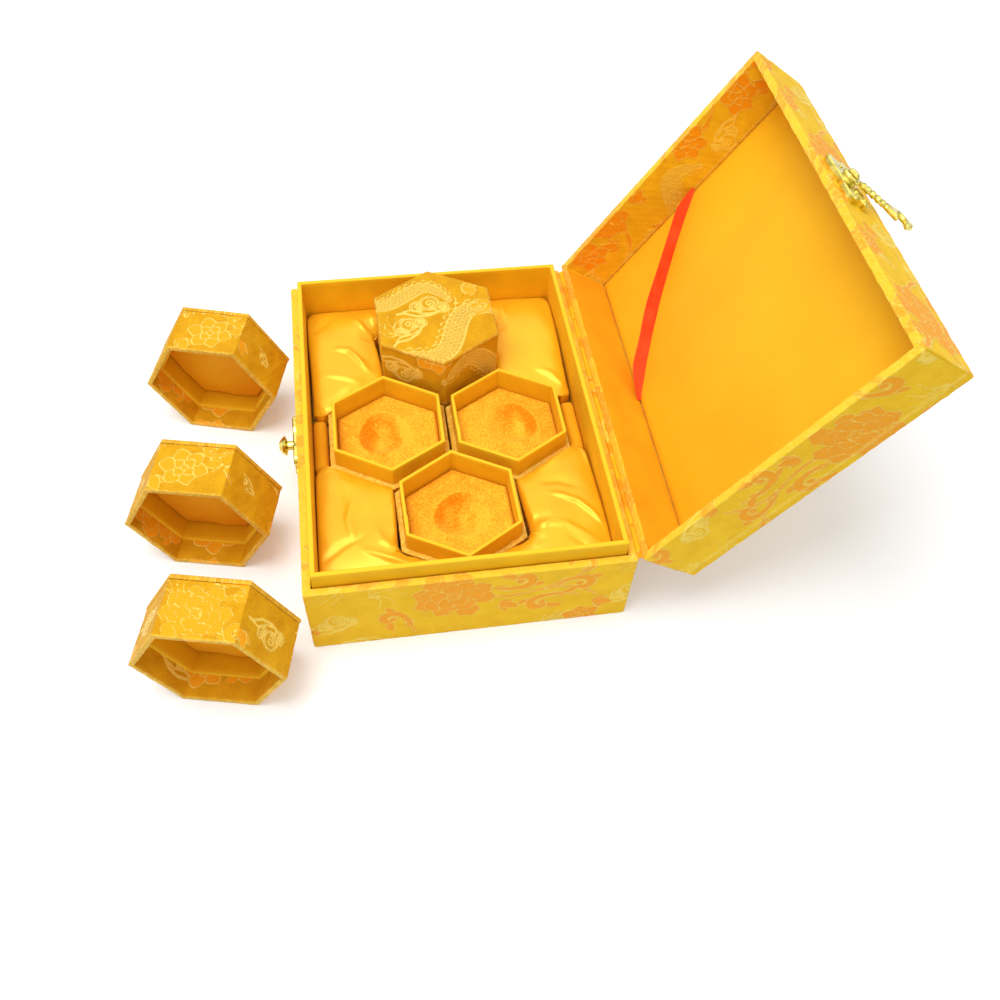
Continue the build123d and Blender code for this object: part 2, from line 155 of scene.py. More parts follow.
@dataclass
class Graph:
    """One node tree, with a short call for each kind of node that the finishes share."""

    tree: NodeTree

    def __post_init__(self) -> None:
        """Start with an empty tree."""
        self.tree.nodes.clear()

    def add(self, kind: str, inputs: dict | None = None, **settings: object) -> Node:
        """Add one shader node by the short name of its type."""
        return add_node(self.tree, "ShaderNode" + kind, inputs, **settings)

    def maths(self, operation: str, *values: Value) -> NodeSocket:
        """Combine numbers and sockets by one operation."""
        return self.add("Math", dict(enumerate(values)), operation=operation).outputs[0]

    def ramp(
        self, value: Value, low: float = 0.0, high: float = 1.0, start: Value = 0.0, end: Value = 1.0
    ) -> NodeSocket:
        """Map the range from low to high on to the one from start to end."""
        inputs = {"Value": value, "From Min": low, "From Max": high, "To Min": start, "To Max": end}
        return self.add("MapRange", inputs).outputs["Result"]

    def mix(self, share: Value, first: str | NodeSocket, second: str | NodeSocket) -> NodeSocket:
        """Blend two colours, each a hex colour or a socket."""
        one, other = (linear(end) if isinstance(end, str) else end for end in (first, second))
        inputs = {"Factor": share, "A": one, "B": other}
        return self.add("Mix", inputs, data_type="RGBA").outputs["Result"]

    def choose(self, share: Value, first: NodeSocket, second: NodeSocket) -> NodeSocket:
        """Show the first shader where the share is 0 and the second where it is 1."""
        return self.add("MixShader", {0: share, 1: first, 2: second}).outputs[0]

    def noise(
        self, place: NodeSocket, scale: float, detail: float = 2.0, roughness: float = 0.5
    ) -> NodeSocket:
        """A noise with so many features for each unit of its place."""
        inputs = {"Vector": place, "Scale": scale, "Detail": detail, "Roughness": roughness}
        return self.add("TexNoise", inputs).outputs["Fac"]

    def bands(self, place: NodeSocket, period: float, distortion: float, direction: str) -> NodeSocket:
        """Wavering bands of one period, in the place's unit."""
        # Wave bands repeat every 0.314 units at a scale of 1
        inputs = {"Vector": place, "Scale": 2 * pi / 20 / period, "Distortion": distortion}
        inputs |= {"Detail": 2.0, "Detail Scale": 1.5}
        return self.add("TexWave", inputs, bands_direction=direction).outputs["Fac"]

    def finish(self, relief: tuple[float, float, NodeSocket], surface: dict) -> None:
        """End a material.

        Args:
            relief: The bump's strength, its depth in metres and its height.
            surface: Values and sockets of the surface.
        """
        inputs = dict(zip(("Strength", "Distance", "Height"), relief))
        normal = self.add("Bump", inputs).outputs["Normal"]
        shader = self.add("BsdfPrincipled", {**surface, "Normal": normal})
        self.add("OutputMaterial", {"Surface": shader.outputs["BSDF"]})


def new_material(name: str) -> tuple[Material, Graph]:
    """Start an empty node material.

    Args:
        name: The material's name.

    Returns:
        The material and its empty graph.
    """
    material = bpy.data.materials.new(name)
    material.use_nodes = True
    return material, Graph(material.node_tree)


def deselect() -> None:
    """Leave edit mode and deselect every object."""
    if bpy.context.object and bpy.context.object.mode != "OBJECT":
        bpy.ops.object.mode_set(mode="OBJECT")
    bpy.ops.object.select_all(action="DESELECT")


def take(piece: Object) -> None:
    """Select one object alone and make it active."""
    deselect()
    piece.select_set(True)
    bpy.context.view_layer.objects.active = piece


def apply_modifier(piece: Object, kind: str, **settings: object) -> None:
    """Add one modifier with its settings and apply it.

    Args:
        piece: The object that gets the modifier.
        kind: Blender's name for the modifier's type.
        settings: Attributes of the modifier.
    """
    take(piece)
    modifier = piece.modifiers.new(kind.lower(), kind)
    for name, value in settings.items():
        setattr(modifier, name, value)
    bpy.ops.object.modifier_apply(modifier=modifier.name)


def read_points(piece: Object) -> np.ndarray:
    """A mesh's vertices as rows of x, y and z."""
    points = np.empty(len(piece.data.vertices) * 3)
    piece.data.vertices.foreach_get("co", points)
    return points.reshape(-1, 3)


def write_points(piece: Object, points: np.ndarray) -> None:
    """Move a mesh's vertices to rows of x, y and z."""
    piece.data.vertices.foreach_set("co", np.ascontiguousarray(points, dtype=float).ravel())
    piece.data.update()


def normals_of(piece: Object) -> np.ndarray:
    """A mesh's vertex normals as rows of x, y and z."""
    return np.array([v.normal for v in piece.data.vertices])


def place_mesh(piece: Object, place: Matrix) -> None:
    """Carry a mesh that is modelled in millimetres to its place in metres."""
    piece.data.transform(place @ Matrix.Scale(MM, 4))
    piece.data.update()


def smooth(piece: Object, angle: float) -> None:
    """Shade a piece smooth below an angle in degrees."""
    take(piece)
    bpy.ops.object.shade_smooth_by_angle(angle=radians(angle))


def weld(piece: Object, distance: float = 1e-4) -> None:
    """Merge a mesh's doubles and turn its faces outwards."""
    take(piece)
    bpy.ops.object.mode_set(mode="EDIT")
    bpy.ops.mesh.select_all(action="SELECT")
    bpy.ops.mesh.remove_doubles(threshold=distance)
    bpy.ops.mesh.normals_make_consistent(inside=False)
    bpy.ops.object.mode_set(mode="OBJECT")


def cad_copy(node: str, name: str) -> Object:
    """A merged copy of a node's mesh in millimetres, as a new object."""
    source = bpy.data.objects[node]
    piece = bpy.data.objects.new(name, source.data.copy())
    bpy.context.scene.collection.objects.link(piece)
    piece.data.materials.clear()
    weld(piece, 1e-6)
    piece.data.transform(Matrix.Scale(1 / MM, 4))
    return piece


def room(node: str) -> tuple[np.ndarray, np.ndarray]:
    """The low and high corner of a node's box, in millimetres."""
    low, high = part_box(node)
    return np.array(low) / MM, np.array(high) / MM


@dataclass(frozen=True)
class Seat:
    """Where a piece belongs: its body, the record's slot, and the nodes that it stands for."""

    body: str
    slot: str
    stands_for: tuple[str, ...] = ()
    fill: float | None = None

    def settle(
        self, piece: Object, finish: Material, place: Matrix = IDENTITY,
        angle: float | None = 60.0,
    ) -> None:
        """Finish a piece.

        Args:
            piece: The modelled piece, in millimetres.
            finish: The material that covers it.
            place: Where its own frame is, in metres.
            angle: Below this angle in degrees it is shaded smooth; with none it stays faceted.
        """
        place_mesh(piece, place)
        if angle is not None:
            smooth(piece, angle)
        piece.data.materials.append(finish)
        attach(piece, self.body)
        if self.stands_for:
            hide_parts(*self.stands_for)
        LOG.info("%s rides on %s with %d faces", piece.name, self.body, len(piece.data.polygons))


def dress(nodes: Sequence[str], finish: Material) -> None:
    """Give nodes that stay as they are a finish."""
    for name in nodes:
        mesh = bpy.data.objects[name].data
        mesh.materials.clear()
        mesh.materials.append(finish)
        LOG.info("%s gets %s", name, finish.name)


# Woven figures


@dataclass(frozen=True)
class Figure:
    """Where one woven figure lies in the repeat of the cloth, in millimetres of cloth."""

    kind: str
    x: float
    y: float
    turn: float = 0.0
    scale: float = 1.0
    mirror: bool = False


def nearest(points: np.ndarray, curve: np.ndarray) -> tuple[np.ndarray, np.ndarray, np.ndarray]:
    """Measure points against a curve given as short straight runs.

    Args:
        points: Rows of x and y.
        curve: Rows of x and y along the curve.

    Returns:
        Distance, share of the way along the curve, and side as -1 or 1.
    """
    best = np.full(len(points), FAR)
    along = np.zeros(len(points))
    side = np.ones(len(points))
    runs = len(curve) - 1
    for i in range(runs):
        step = curve[i + 1] - curve[i]
        offset = points - curve[i]
        share = np.clip(offset @ step / (step @ step), 0, 1)
        distance = np.hypot(*(offset - share[:, None] * step).T)
        closer = distance < best
        best[closer] = distance[closer]
        along[closer] = (i + share[closer]) / runs
        side[closer] = np.sign(step[0] * offset[closer, 1] - step[1] * offset[closer, 0])
    return best, along, side


def turned(
    places: np.ndarray, turn: float, x: float = 0.0, y: float = 0.0
) -> tuple[np.ndarray, np.ndarray]:
    """The x and y of places as seen from a point and from a turn in radians."""
    c, s = cos(turn), sin(turn)
    right, up = places[:, 0] - x, places[:, 1] - y
    return right * c + up * s, up * c - right * s


def spiral(radius: float, turns: float, tail: Pair) -> np.ndarray:
    """A tendril: a tail that runs into a spiral round zero.

    Args:
        radius: The spiral's outer radius.
        turns: How many turns it makes.
        tail: Where the tail starts.

    Returns:
        Rows of x and y from the tail to the spiral's eye.
    """
    share = np.linspace(0, 1, int(14 * turns) + 4)
    reach = radius * (1 - 0.8 * share)
    angle = -pi / 2 + share * turns * 2 * pi
    eye = np.stack([reach * np.cos(angle), reach * np.sin(angle)], axis=1)
    t = np.linspace(0, 1, 8)[:-1, None]
    bend = np.array([[0.45 * tail[0], -radius]])
    lead = (1 - t) ** 2 * np.array([tail]) + 2 * t * (1 - t) * bend + t**2 * eye[:1]
    return np.vstack([lead, eye])


class Thread(Enum):
    """Which thread shows inside a woven shape."""

    GROUND = "ground"
    ORANGE = "orange"
    PALE = "pale"


@dataclass
class Loom:
    """Draws the figures of the brocade on points of cloth.

    It keeps distances and not colours, so that edges stay crisp between the points: how far inside
    an orange shape a point lies, how far inside a pale one, and how far from the nearest edge. The
    numbers in each figure are its own drawing, in millimetres of cloth and radians.
    """

    points: np.ndarray
    repeat: Pair = (118.0, 92.0)
    reach: float = 2.0
    orange: np.ndarray = field(init=False)
    pale: np.ndarray = field(init=False)
    edge: np.ndarray = field(init=False)

    def __post_init__(self) -> None:
        """Start with bare ground."""
        self.orange = np.full(len(self.points), -self.reach)
        self.pale = np.full(len(self.points), -self.reach)
        self.edge = np.full(len(self.points), self.reach)

    def near(self, spot: Figure, reach: float) -> tuple[np.ndarray, np.ndarray]:
        """Find the points round one figure.

        Args:
            spot: The figure's place.
            reach: How far it reaches at a scale of 1.

        Returns:
            The points' numbers, and their places in the figure's own frame.
        """
        size = np.array(self.repeat)
        offset = (self.points - (spot.x, spot.y) + size / 2) % size - size / 2
        found = np.flatnonzero(np.hypot(*offset.T) < reach * spot.scale)
        local = np.stack(turned(offset[found], radians(spot.turn)), axis=1)
        if spot.mirror:
            local[:, 0] *= -1
        return found, local / spot.scale

    def paint(self, found: np.ndarray, distance: np.ndarray, thread: Thread = Thread.ORANGE) -> None:
        """Lay one shape over what is there.

        Args:
            found: The points' numbers.
            distance: Their distance from the shape's edge, negative inside.
            thread: The thread inside the shape.
        """
        for kept, shown in ((Thread.ORANGE, self.orange), (Thread.PALE, self.pale)):
            if thread is kept:
                shown[found] = np.maximum(shown[found], -distance)
            else:
                shown[found] = np.minimum(shown[found], distance)
        uncovered = np.where(distance < 0, self.reach, self.edge[found])
        self.edge[found] = np.minimum(uncovered, np.abs(distance))

    def line(self, found: np.ndarray, distance: np.ndarray, width: float = 0.0) -> None:
        """A line of pale thread over what is there, wider than an edge by a width."""
        self.edge[found] = np.minimum(self.edge[found], distance - width / 2)

    def petal(
        self, found: np.ndarray, local: np.ndarray, turn: float, out: float, size: Pair,
        lobes: int = 3,
    ) -> None:
        """One scalloped petal at an angle and a distance from the flower's middle."""
        a, b = turned(local, turn)
        a, b = (a - out) / size[0], b / size[1]
        round_it = np.arctan2(b, a)
        rim = 1 + 0.08 * np.cos(2 * lobes * round_it) + 0.03 * np.sin(5 * round_it + turn)
        self.paint(found, (np.hypot(a, b) - rim) * min(size))

    def peony(self, spot: Figure) -> None:
        """A full flower: rings of petals laid from the outside in, with a pale heart."""
        found, local = self.near(spot, 23)
        rings = ((8, 13.0, (6.4, 5.2), 0.2), (7, 9.2, (5.6, 5.2), 0.7), (5, 5.4, (4.6, 4.2), 0.1))
        for count, out, size, phase in rings:
            for i in range(count):
                sway = 1.3 * sin(5.1 * i + spot.x)
                turn = phase + 2 * pi * i / count + 0.1 * sway
                grow = 1 + 0.1 * sin(3.3 * i + out)
                self.petal(found, local, turn, out + sway, (size[0] * grow, size[1] * grow))
        self.petal(found, local, 0.4, 0, (3.6, 3.2), 2)
        for i in range(7):
            seed = (1.9 * cos(0.9 * i), 1.9 * sin(0.9 * i))
            self.line(found, np.hypot(*(local - seed).T), 0.5)

    def blossom(self, spot: Figure) -> None:
        """A small open flower of six petals with a ringed heart."""
        found, local = self.near(spot, 13)
        for i in range(6):
            self.petal(found, local, 2 * pi * i / 6, 6.0 + 0.7 * sin(4.7 * i), (3.8, 3.3), 2)
        for i in range(4):
            self.petal(found, local, 0.5 + 2 * pi * i / 4, 2.6, (2.5, 2.1), 2)
        self.petal(found, local, 0, 0, (1.5, 1.4), 2)

    def leaf(self, spot: Figure) -> None:
        """A pointed leaf with three fingers."""
        found, local = self.near(spot, 15)
        for turn, length, width in ((0.75, 7.0, 1.9), (-0.7, 6.4, 1.8), (0.0, 9.0, 2.5)):
            a, b = turned(local, turn)
            b = b - 0.9 * np.sin(a / length * pi)
            share = np.clip(a / length, 0, 1)
            reach = width * np.sin(pi * share**0.8)
            self.paint(found, np.maximum(np.abs(b) - reach, np.maximum(-a, a - length)))

    def scroll(self, spot: Figure) -> None:
        """A thick stem that swells, curls round to a bud and throws off blunt leaflets."""
        found, local = self.near(spot, 20)
        for x, y, turn, length in ((-8.5, -2.4, -0.75, 4.6), (3.4, -5.4, -0.45, 4.4), (-3.4, 5.2, 2.3, 4.2)):
            a, b = turned(local, turn, x, y)
            a = a / length
            b = b - 1.2 * a**2
            body = 1.8 * np.sqrt(np.clip(1 - a**2, 0, 1))
            self.paint(found, np.abs(b) - body + np.clip(np.abs(a) - 1, 0, 9) * 4)
        curl = spiral(5.2, 0.8, (-16.0, 3.5))
        distance, along, _ = nearest(local, curl)
        self.paint(found, distance - 0.6 - 1.5 * np.sin(pi * np.clip(along, 0, 0.95)) ** 1.5)
        self.paint(found, np.hypot(*(local - curl[-1]).T) - 1.8)

    def stem(self, spot: Figure) -> None:
        """A long waving stem."""
        found, local = self.near(spot, 30)
        x = np.linspace(-27, 27, 19)
        distance, along, _ = nearest(local, np.stack([x, 4.5 * np.sin(x / 8.5)], axis=1))
        self.paint(found, distance - 0.6 - 0.35 * np.sin(along * 13) ** 2)

    def cloud(self, spot: Figure) -> None:
        """A cloud of three curled lobes and a tail, in pale thread."""
        found, local = self.near(spot, 17)
        lobes = ((-5.6, -1.2, 3.6), (5.6, -1.2, 3.6), (0.0, 1.4, 4.8))
        for x, y, radius in lobes:
            self.paint(found, np.hypot(*(local - (x, y)).T) - radius, Thread.PALE)
        for x, y, radius in lobes:
            self.paint(found, np.hypot(*(local - (x, y)).T) - radius + 1.1, Thread.GROUND)
            curl = spiral(radius * 0.55, 1.3, (radius * 0.5, -radius * 0.9)) + (x, y)
            self.line(found, nearest(local, curl)[0], 0.35)
        tail = np.array([(4.0, -4.5), (0.0, -7.0), (-6.0, -7.5), (-12.0, -5.5), (-15.0, -6.5)])
        self.line(found, nearest(local, tail)[0], 0.9)
        self.line(found, nearest(local, tail + (3.0, 1.9))[0], 0.4)

    def serpent(self, spot: Figure) -> None:
        """A winding band of scales with a fringe along its back, in pale thread."""
        found, local = self.near(spot, 34)
        x = np.linspace(-26, 26, 33)
        distance, along, side = nearest(local, np.stack([x, 8.5 * np.sin(x / 8.0)], axis=1))
        half = 4.8 * np.sin(pi * np.clip(along, 0.03, 0.97)) ** 0.5
        self.paint(found, distance - half, Thread.PALE)
        pitch, row = 2.3, 1.75
        across = distance * side
        rank = np.floor(across / row)
        run = along * 66 + (rank % 2) * pitch / 2
        cell = np.hypot(run % pitch - pitch / 2, across - rank * row - 0.2)
        self.line(found, np.abs(cell - 1.05) + 0.06 + np.where(distance < half - 0.3, 0, 9))
        spike = half + 2.1 * np.abs(np.sin(along * 55)) + 0.2
        self.line(found, np.where((side > 0) & (distance > half), np.abs(distance - spike) * 0.7, 9))

    def plume(self, spot: Figure) -> None:
        """A spray of long pale feathers."""
        found, local = self.near(spot, 21)
        t = np.linspace(0, 1, 9)
        for i in range(9):
            length = 16 - abs(i - 4) * 1.2
            bend = 2.0 * np.sin(pi * t) + 0.9 * np.sin(2.4 * i + 5 * t)
            feather = turned(np.stack([t * length, bend], axis=1), 1.0 - 0.25 * i)
            curve = np.stack(feather, axis=1) - (6.0, 0.0)
            self.line(found, nearest(local, curve)[0] + 0.12 * (i % 2))

    def weave(self, figures: Sequence[Figure], fray_and_glint: np.ndarray | None = None) -> np.ndarray:
        """Draw every figure in turn.

        Args:
            figures: The figures, from the lowest layer to the highest.
            fray_and_glint: Where threads stand out at a worn edge, with a painted glint along it, from 0 to
                1.

        Returns:
            A row for each point: the three distances, each from 0 to 1 over its reach, and the fray with its
                painted glint.
        """
        for spot in figures:
            getattr(self, spot.kind)(spot)
        orange, pale = (0.5 + shown / self.reach / 2 for shown in (self.orange, self.pale))
        wear_and_highlight = np.zeros(len(self.points)) if fray_and_glint is None else fray_and_glint
        return np.clip(np.stack([orange, self.edge / self.reach, pale, wear_and_highlight], axis=1), 0, 1)


def spots(kind: str, *places: tuple[float, ...]) -> tuple[Figure, ...]:
    """Figures of one kind, each with its x, y, and where given its turn, scale and mirroring."""
    return tuple(Figure(kind, *place) for place in places)


# One repeat of the cloth: flowers on vines, with clouds, feathers and a scaled body between them
FLORAL = (
    *spots("plume", (98, 36, 200, 0.9), (2, 30, -10, 0.9)),
    *spots("serpent", (64, 80, 8, 0.95)),
    *spots("cloud", (20, 78, 0, 0.95), (101, 14, 12, 0.9), (108, 86, 170, 0.8)),
    *spots("stem", (60, 22, -14), (6, 52, 30), (92, 58, 62)),
    *spots("scroll", (56, 31, 20, 0.95), (64, 12, -150, 0.95), (80, 24, 170, 0.9, True)),
    *spots("scroll", (4, 12, 140, 0.9), (44, 54, -70, 0.85), (112, 56, 30, 0.95, True), (82, 42, 80, 0.8)),
    *spots("leaf", (47, 14, -20), (12, 38, 150, 0.9), (50, 42, 40), (76, 66, 200)),
    *spots("leaf", (104, 74, -60), (86, 8, -10), (114, 36, 80), (24, 46, 100, 0.8)),
    *spots("blossom", (72, 50, 0, 0.95), (0, 66, 30, 1.0), (34, 64, 10, 1.0), (82, 90, 40, 0.85)),
    *spots("peony", (29, 24, 15, 0.84), (95, 56, 200, 0.78, True)),
)

# The cut that covers the closed lid's plate: scales and clouds in pale thread
CLOUDED = (
    *spots("serpent", (-13, 13, -12, 0.8), (7, -12, 24, 1.0)),
    *spots("plume", (-19, -6, 100, 0.8)),
    *spots("cloud", (-2, 6, -8, 0.95), (-12, -6, 30, 0.85)),
    *spots("leaf", (15, 18, -60, 0.9), (20, 13, 150, 0.8)),
    *spots("scroll", (22, 4, 60, 0.6)),
)

# The cuts that cover the lids on the table, from the roof's edge at 0 to the mouth at 30 and on inside
FLOWERED = (
    *spots("stem", (54, 12, 16, 0.6)),
    *spots("plume", (30, 8, 240, 0.6)),
    *spots("scroll", (54, 9, 190, 0.6)),
    *spots("leaf", (59, 16, 160, 0.8)),
    *spots("blossom", (45, 19, 8, 0.95)),
    *spots("leaf", (35, 24, 70, 0.9)),
    *spots("cloud", (16, 19, 24, 0.42)),
    *spots("leaf", (3, 20, 80, 0.8)),
    *spots("peony", (76, 20, 40, 0.8)),
    *spots("cloud", (103, 14, 12, 0.8)),
    *spots("scroll", (98, 42, 170, 0.8)),
    *spots("blossom", (78, 48, 20, 1.1)),
    *spots("peony", (112, 50, 70, 0.8)),
    *spots("leaf", (62, 46, 40, 1.0)),
    *spots("scroll", (24, 48, 10, 0.8)),
)
OUTLINED = (
    *spots("plume", (31, 12, 230, 0.6)),
    *spots("scroll", (58, 26, 200, 0.7), (56, 11, 30, 0.65)),
    *spots("peony", (42, 20, 25, 0.66)),
    *spots("cloud", (16, 20, -14, 0.8)),
    *spots("leaf", (3, 24, 80, 0.8)),
    *spots("scroll", (78, 18, 40, 0.8)),
    *spots("cloud", (100, 46, 8, 1.0)),
    *spots("blossom", (84, 46, 40, 1.0)),
    *spots("scroll", (66, 44, 200, 0.8)),
    *spots("plume", (114, 48, 30, 0.8)),
    *spots("scroll", (12, 50, 100, 0.8)),
)


# Finishes


def gloss(look: "Brocade | Soft") -> dict:
    """The shader's sockets for a cloth's highlight and sheen."""
    return {
        "Specular IOR Level": look.specular, "Specular Tint": linear(look.highlight),
        "Sheen Weight": look.sheen, "Sheen Roughness": look.sheen_roughness,
        "Sheen Tint": linear(look.sheen_colour), "IOR": 1.5,
    }


@dataclass(frozen=True)
class Brocade:
    """Rayon jacquard brocade, glued over board: dull twill ground, glossy floats and pale edges."""

    name: str = "rayon_brocade"
    ground: str = "FACC28"
    ground_shade: str = "EBB71C"
    float_thread: str = "FCAE1E"
    float_shade: str = "F29A16"
    pale_thread_and_glint: str = "FFE46A"
    covering: float = 0.6
    sheen_colour: str = "FFE468"
    highlight: str = "FFE682"
    edge_half: float = 0.2
    edge_fade: float = 0.2
    shape_fade: float = 0.14
    reach: float = Loom.reach
    hatch_period: float = 0.6
    twill_period: float = 0.7
    grain: float = 1.6
    cloudiness: float = 0.12
    wisps_and_glints: float = 0.55
    bump: float = 0.8
    relief: float = 0.0002
    roughness: Pair = (0.62, 0.38)
    dull_range: Pair = (0.75, 1.3)
    wisp_and_glint_range: tuple[float, float, float] = (0.47, 0.62, 0.4)
    float_height: float = 0.5
    twill_height: float = 0.22
    grain_height: float = 0.9
    specular: float = 0.2
    sheen: float = 0.02
    sheen_roughness: float = 0.4

    def material(self) -> Material:
        """Build the material. It reads the cloth's own map in millimetres and its woven figures.

        Threads lie about 0.1 mm apart on such cloth, too fine to show, so the bands of floats and
        twill are drawn six to seven times as coarse.
        """
        made, graph = new_material(self.name)
        cloth = graph.add("UVMap", uv_map="cloth").outputs["UV"]
        weave = graph.add("Attribute", attribute_name="weave").outputs
        woven = graph.add("SeparateColor", {0: weave["Color"]}).outputs
        fade = self.shape_fade / self.reach / 2
        floating, hatching = (graph.ramp(woven[part], 0.5 - fade, 0.5 + fade) for part in ("Red", "Blue"))
        edge = (self.edge_half / self.reach, (self.edge_half + self.edge_fade) / self.reach)
        outline = graph.ramp(woven["Green"], *edge, 1.0, 0.0)
        twill = graph.bands(cloth, self.twill_period, 1.2, "DIAGONAL")
        hatch = graph.bands(cloth, self.hatch_period, 1.6, "Y")
        grain = graph.noise(cloth, self.grain)
        cloudy = graph.noise(cloth, self.cloudiness, 3.0)
        dull = graph.ramp(graph.maths("ADD", grain, cloudy), *self.dull_range)
        ground = graph.mix(dull, self.ground, self.ground_shade)
        floats = graph.mix(hatch, self.float_thread, self.float_shade)
        figured = graph.mix(floating, ground, floats)
        # Fray and a painted glint: pale thread in noisy dashes along the cloth's edge mask
        wisps_and_glints = graph.ramp(graph.noise(cloth, self.wisps_and_glints, 3.0), *self.wisp_and_glint_range)
        frayed_and_glinting = graph.maths("MULTIPLY", wisps_and_glints, weave["Alpha"])
        lines = graph.maths("MAXIMUM", outline, graph.maths("MULTIPLY", hatch, hatching))
        pale = graph.maths("MAXIMUM", lines, frayed_and_glinting)
        edged = graph.mix(graph.maths("MULTIPLY", pale, self.covering), figured, self.pale_thread_and_glint)
        raised = graph.maths("MULTIPLY_ADD", floating, self.float_height, pale)
        ribs = graph.maths("MULTIPLY_ADD", twill, self.twill_height, raised)
        height = graph.maths("MULTIPLY_ADD", grain, self.grain_height, ribs)
        surface = {
            "Base Color": edged, "Roughness": graph.ramp(raised, 0.0, 1.0, *self.roughness),
            **gloss(self),
        }
        graph.finish((self.bump, self.relief, height), surface)
        return made


@dataclass(frozen=True)
class Soft:
    """A soft or papered surface: a colour that shifts over it, a fine grain and a sheen."""

    name: str
    colour: str
    shade: str
    patch: float = 30.0
    grain: float = 0.8
    relief: float = 0.00006
    roughness: float = 0.5
    metallic: float = 0.0
    specular: float = 0.4
    sheen: float = 0.0
    sheen_colour: str = "FFE27A"
    sheen_roughness: float = 0.4
    highlight: str = "FFE468"
    stretch: tuple[float, float, float] = (1.0, 1.0, 1.0)
    patch_range: Pair = (0.35, 0.68)
    bump: float = 0.6
    nap_and_shade: bool = False
    rim_highlight: str = ""

    def material(self) -> Material:
        """Build the material on the piece's own place in metres."""
        made, graph = new_material(self.name)
        place = graph.add("TexCoord").outputs["Object"]
        stretched = graph.add("Mapping", {"Vector": place, "Scale": self.stretch}).outputs["Vector"]
        grains = graph.noise(stretched, 1 / (self.grain * MM))
        # Brushed tone of the pile with painted shade from the dimple's slope and hollow, read from the pad's
        # attribute
        if self.nap_and_shade:
            brush_tone_and_shade = graph.add("Attribute", attribute_name="nap_and_shade").outputs["Fac"]
            flecks = graph.maths("MULTIPLY_ADD", grains, 2.0, -1.0)
            share = graph.ramp(graph.maths("ADD", brush_tone_and_shade, flecks))
        else:
            patches = graph.noise(place, 1 / (self.patch * MM), 3.0, 0.55)
            share = graph.ramp(patches, *self.patch_range)
        mixed = graph.mix(share, self.colour, self.shade)
        # A painted highlight, paler along a ring's edge
        if self.rim_highlight:
            edge = graph.add("Attribute", attribute_name="rim_highlight").outputs["Fac"]
            mixed = graph.mix(edge, mixed, self.rim_highlight)
        surface = {
            "Base Color": mixed, "Roughness": self.roughness, "Metallic": self.metallic, **gloss(self),
        }
        graph.finish((self.bump, self.relief, grains), surface)
        return made


@dataclass(frozen=True)
class Plating:
    """Pale brass plating on a zinc casting, barrel polished, with tarnish in patches laid by noise."""

    name: str = "pale_brass_plating"
    colour: str = "F2E274"
    tarnish: str = "BCA43C"
    roughness: float = 0.16
    patch: float = 2.2
    bump: float = 0.5
    relief: float = 0.05 * MM
    tarnish_range: Pair = (0.42, 0.7)
    tarnish_most: float = 0.8

    def material(self) -> Material:
        """Build the material: a metal with a faint uneven polish."""
        made, graph = new_material(self.name)
        wear_and_highlight = graph.noise(graph.add("TexCoord").outputs["Object"], 1 / (self.patch * MM), 3.0)
        share = graph.ramp(wear_and_highlight, *self.tarnish_range, 0.0, self.tarnish_most)
        mixed = graph.mix(share, self.colour, self.tarnish)
        surface = {"Base Color": mixed, "Metallic": 1.0, "Roughness": self.roughness}
        graph.finish((self.bump, self.relief, wear_and_highlight), surface)
        return made


def made_from(look: Brocade | Soft | Plating) -> Material:
    """Declare a material that is built with the finishes."""
    return field(default_factory=look.material)


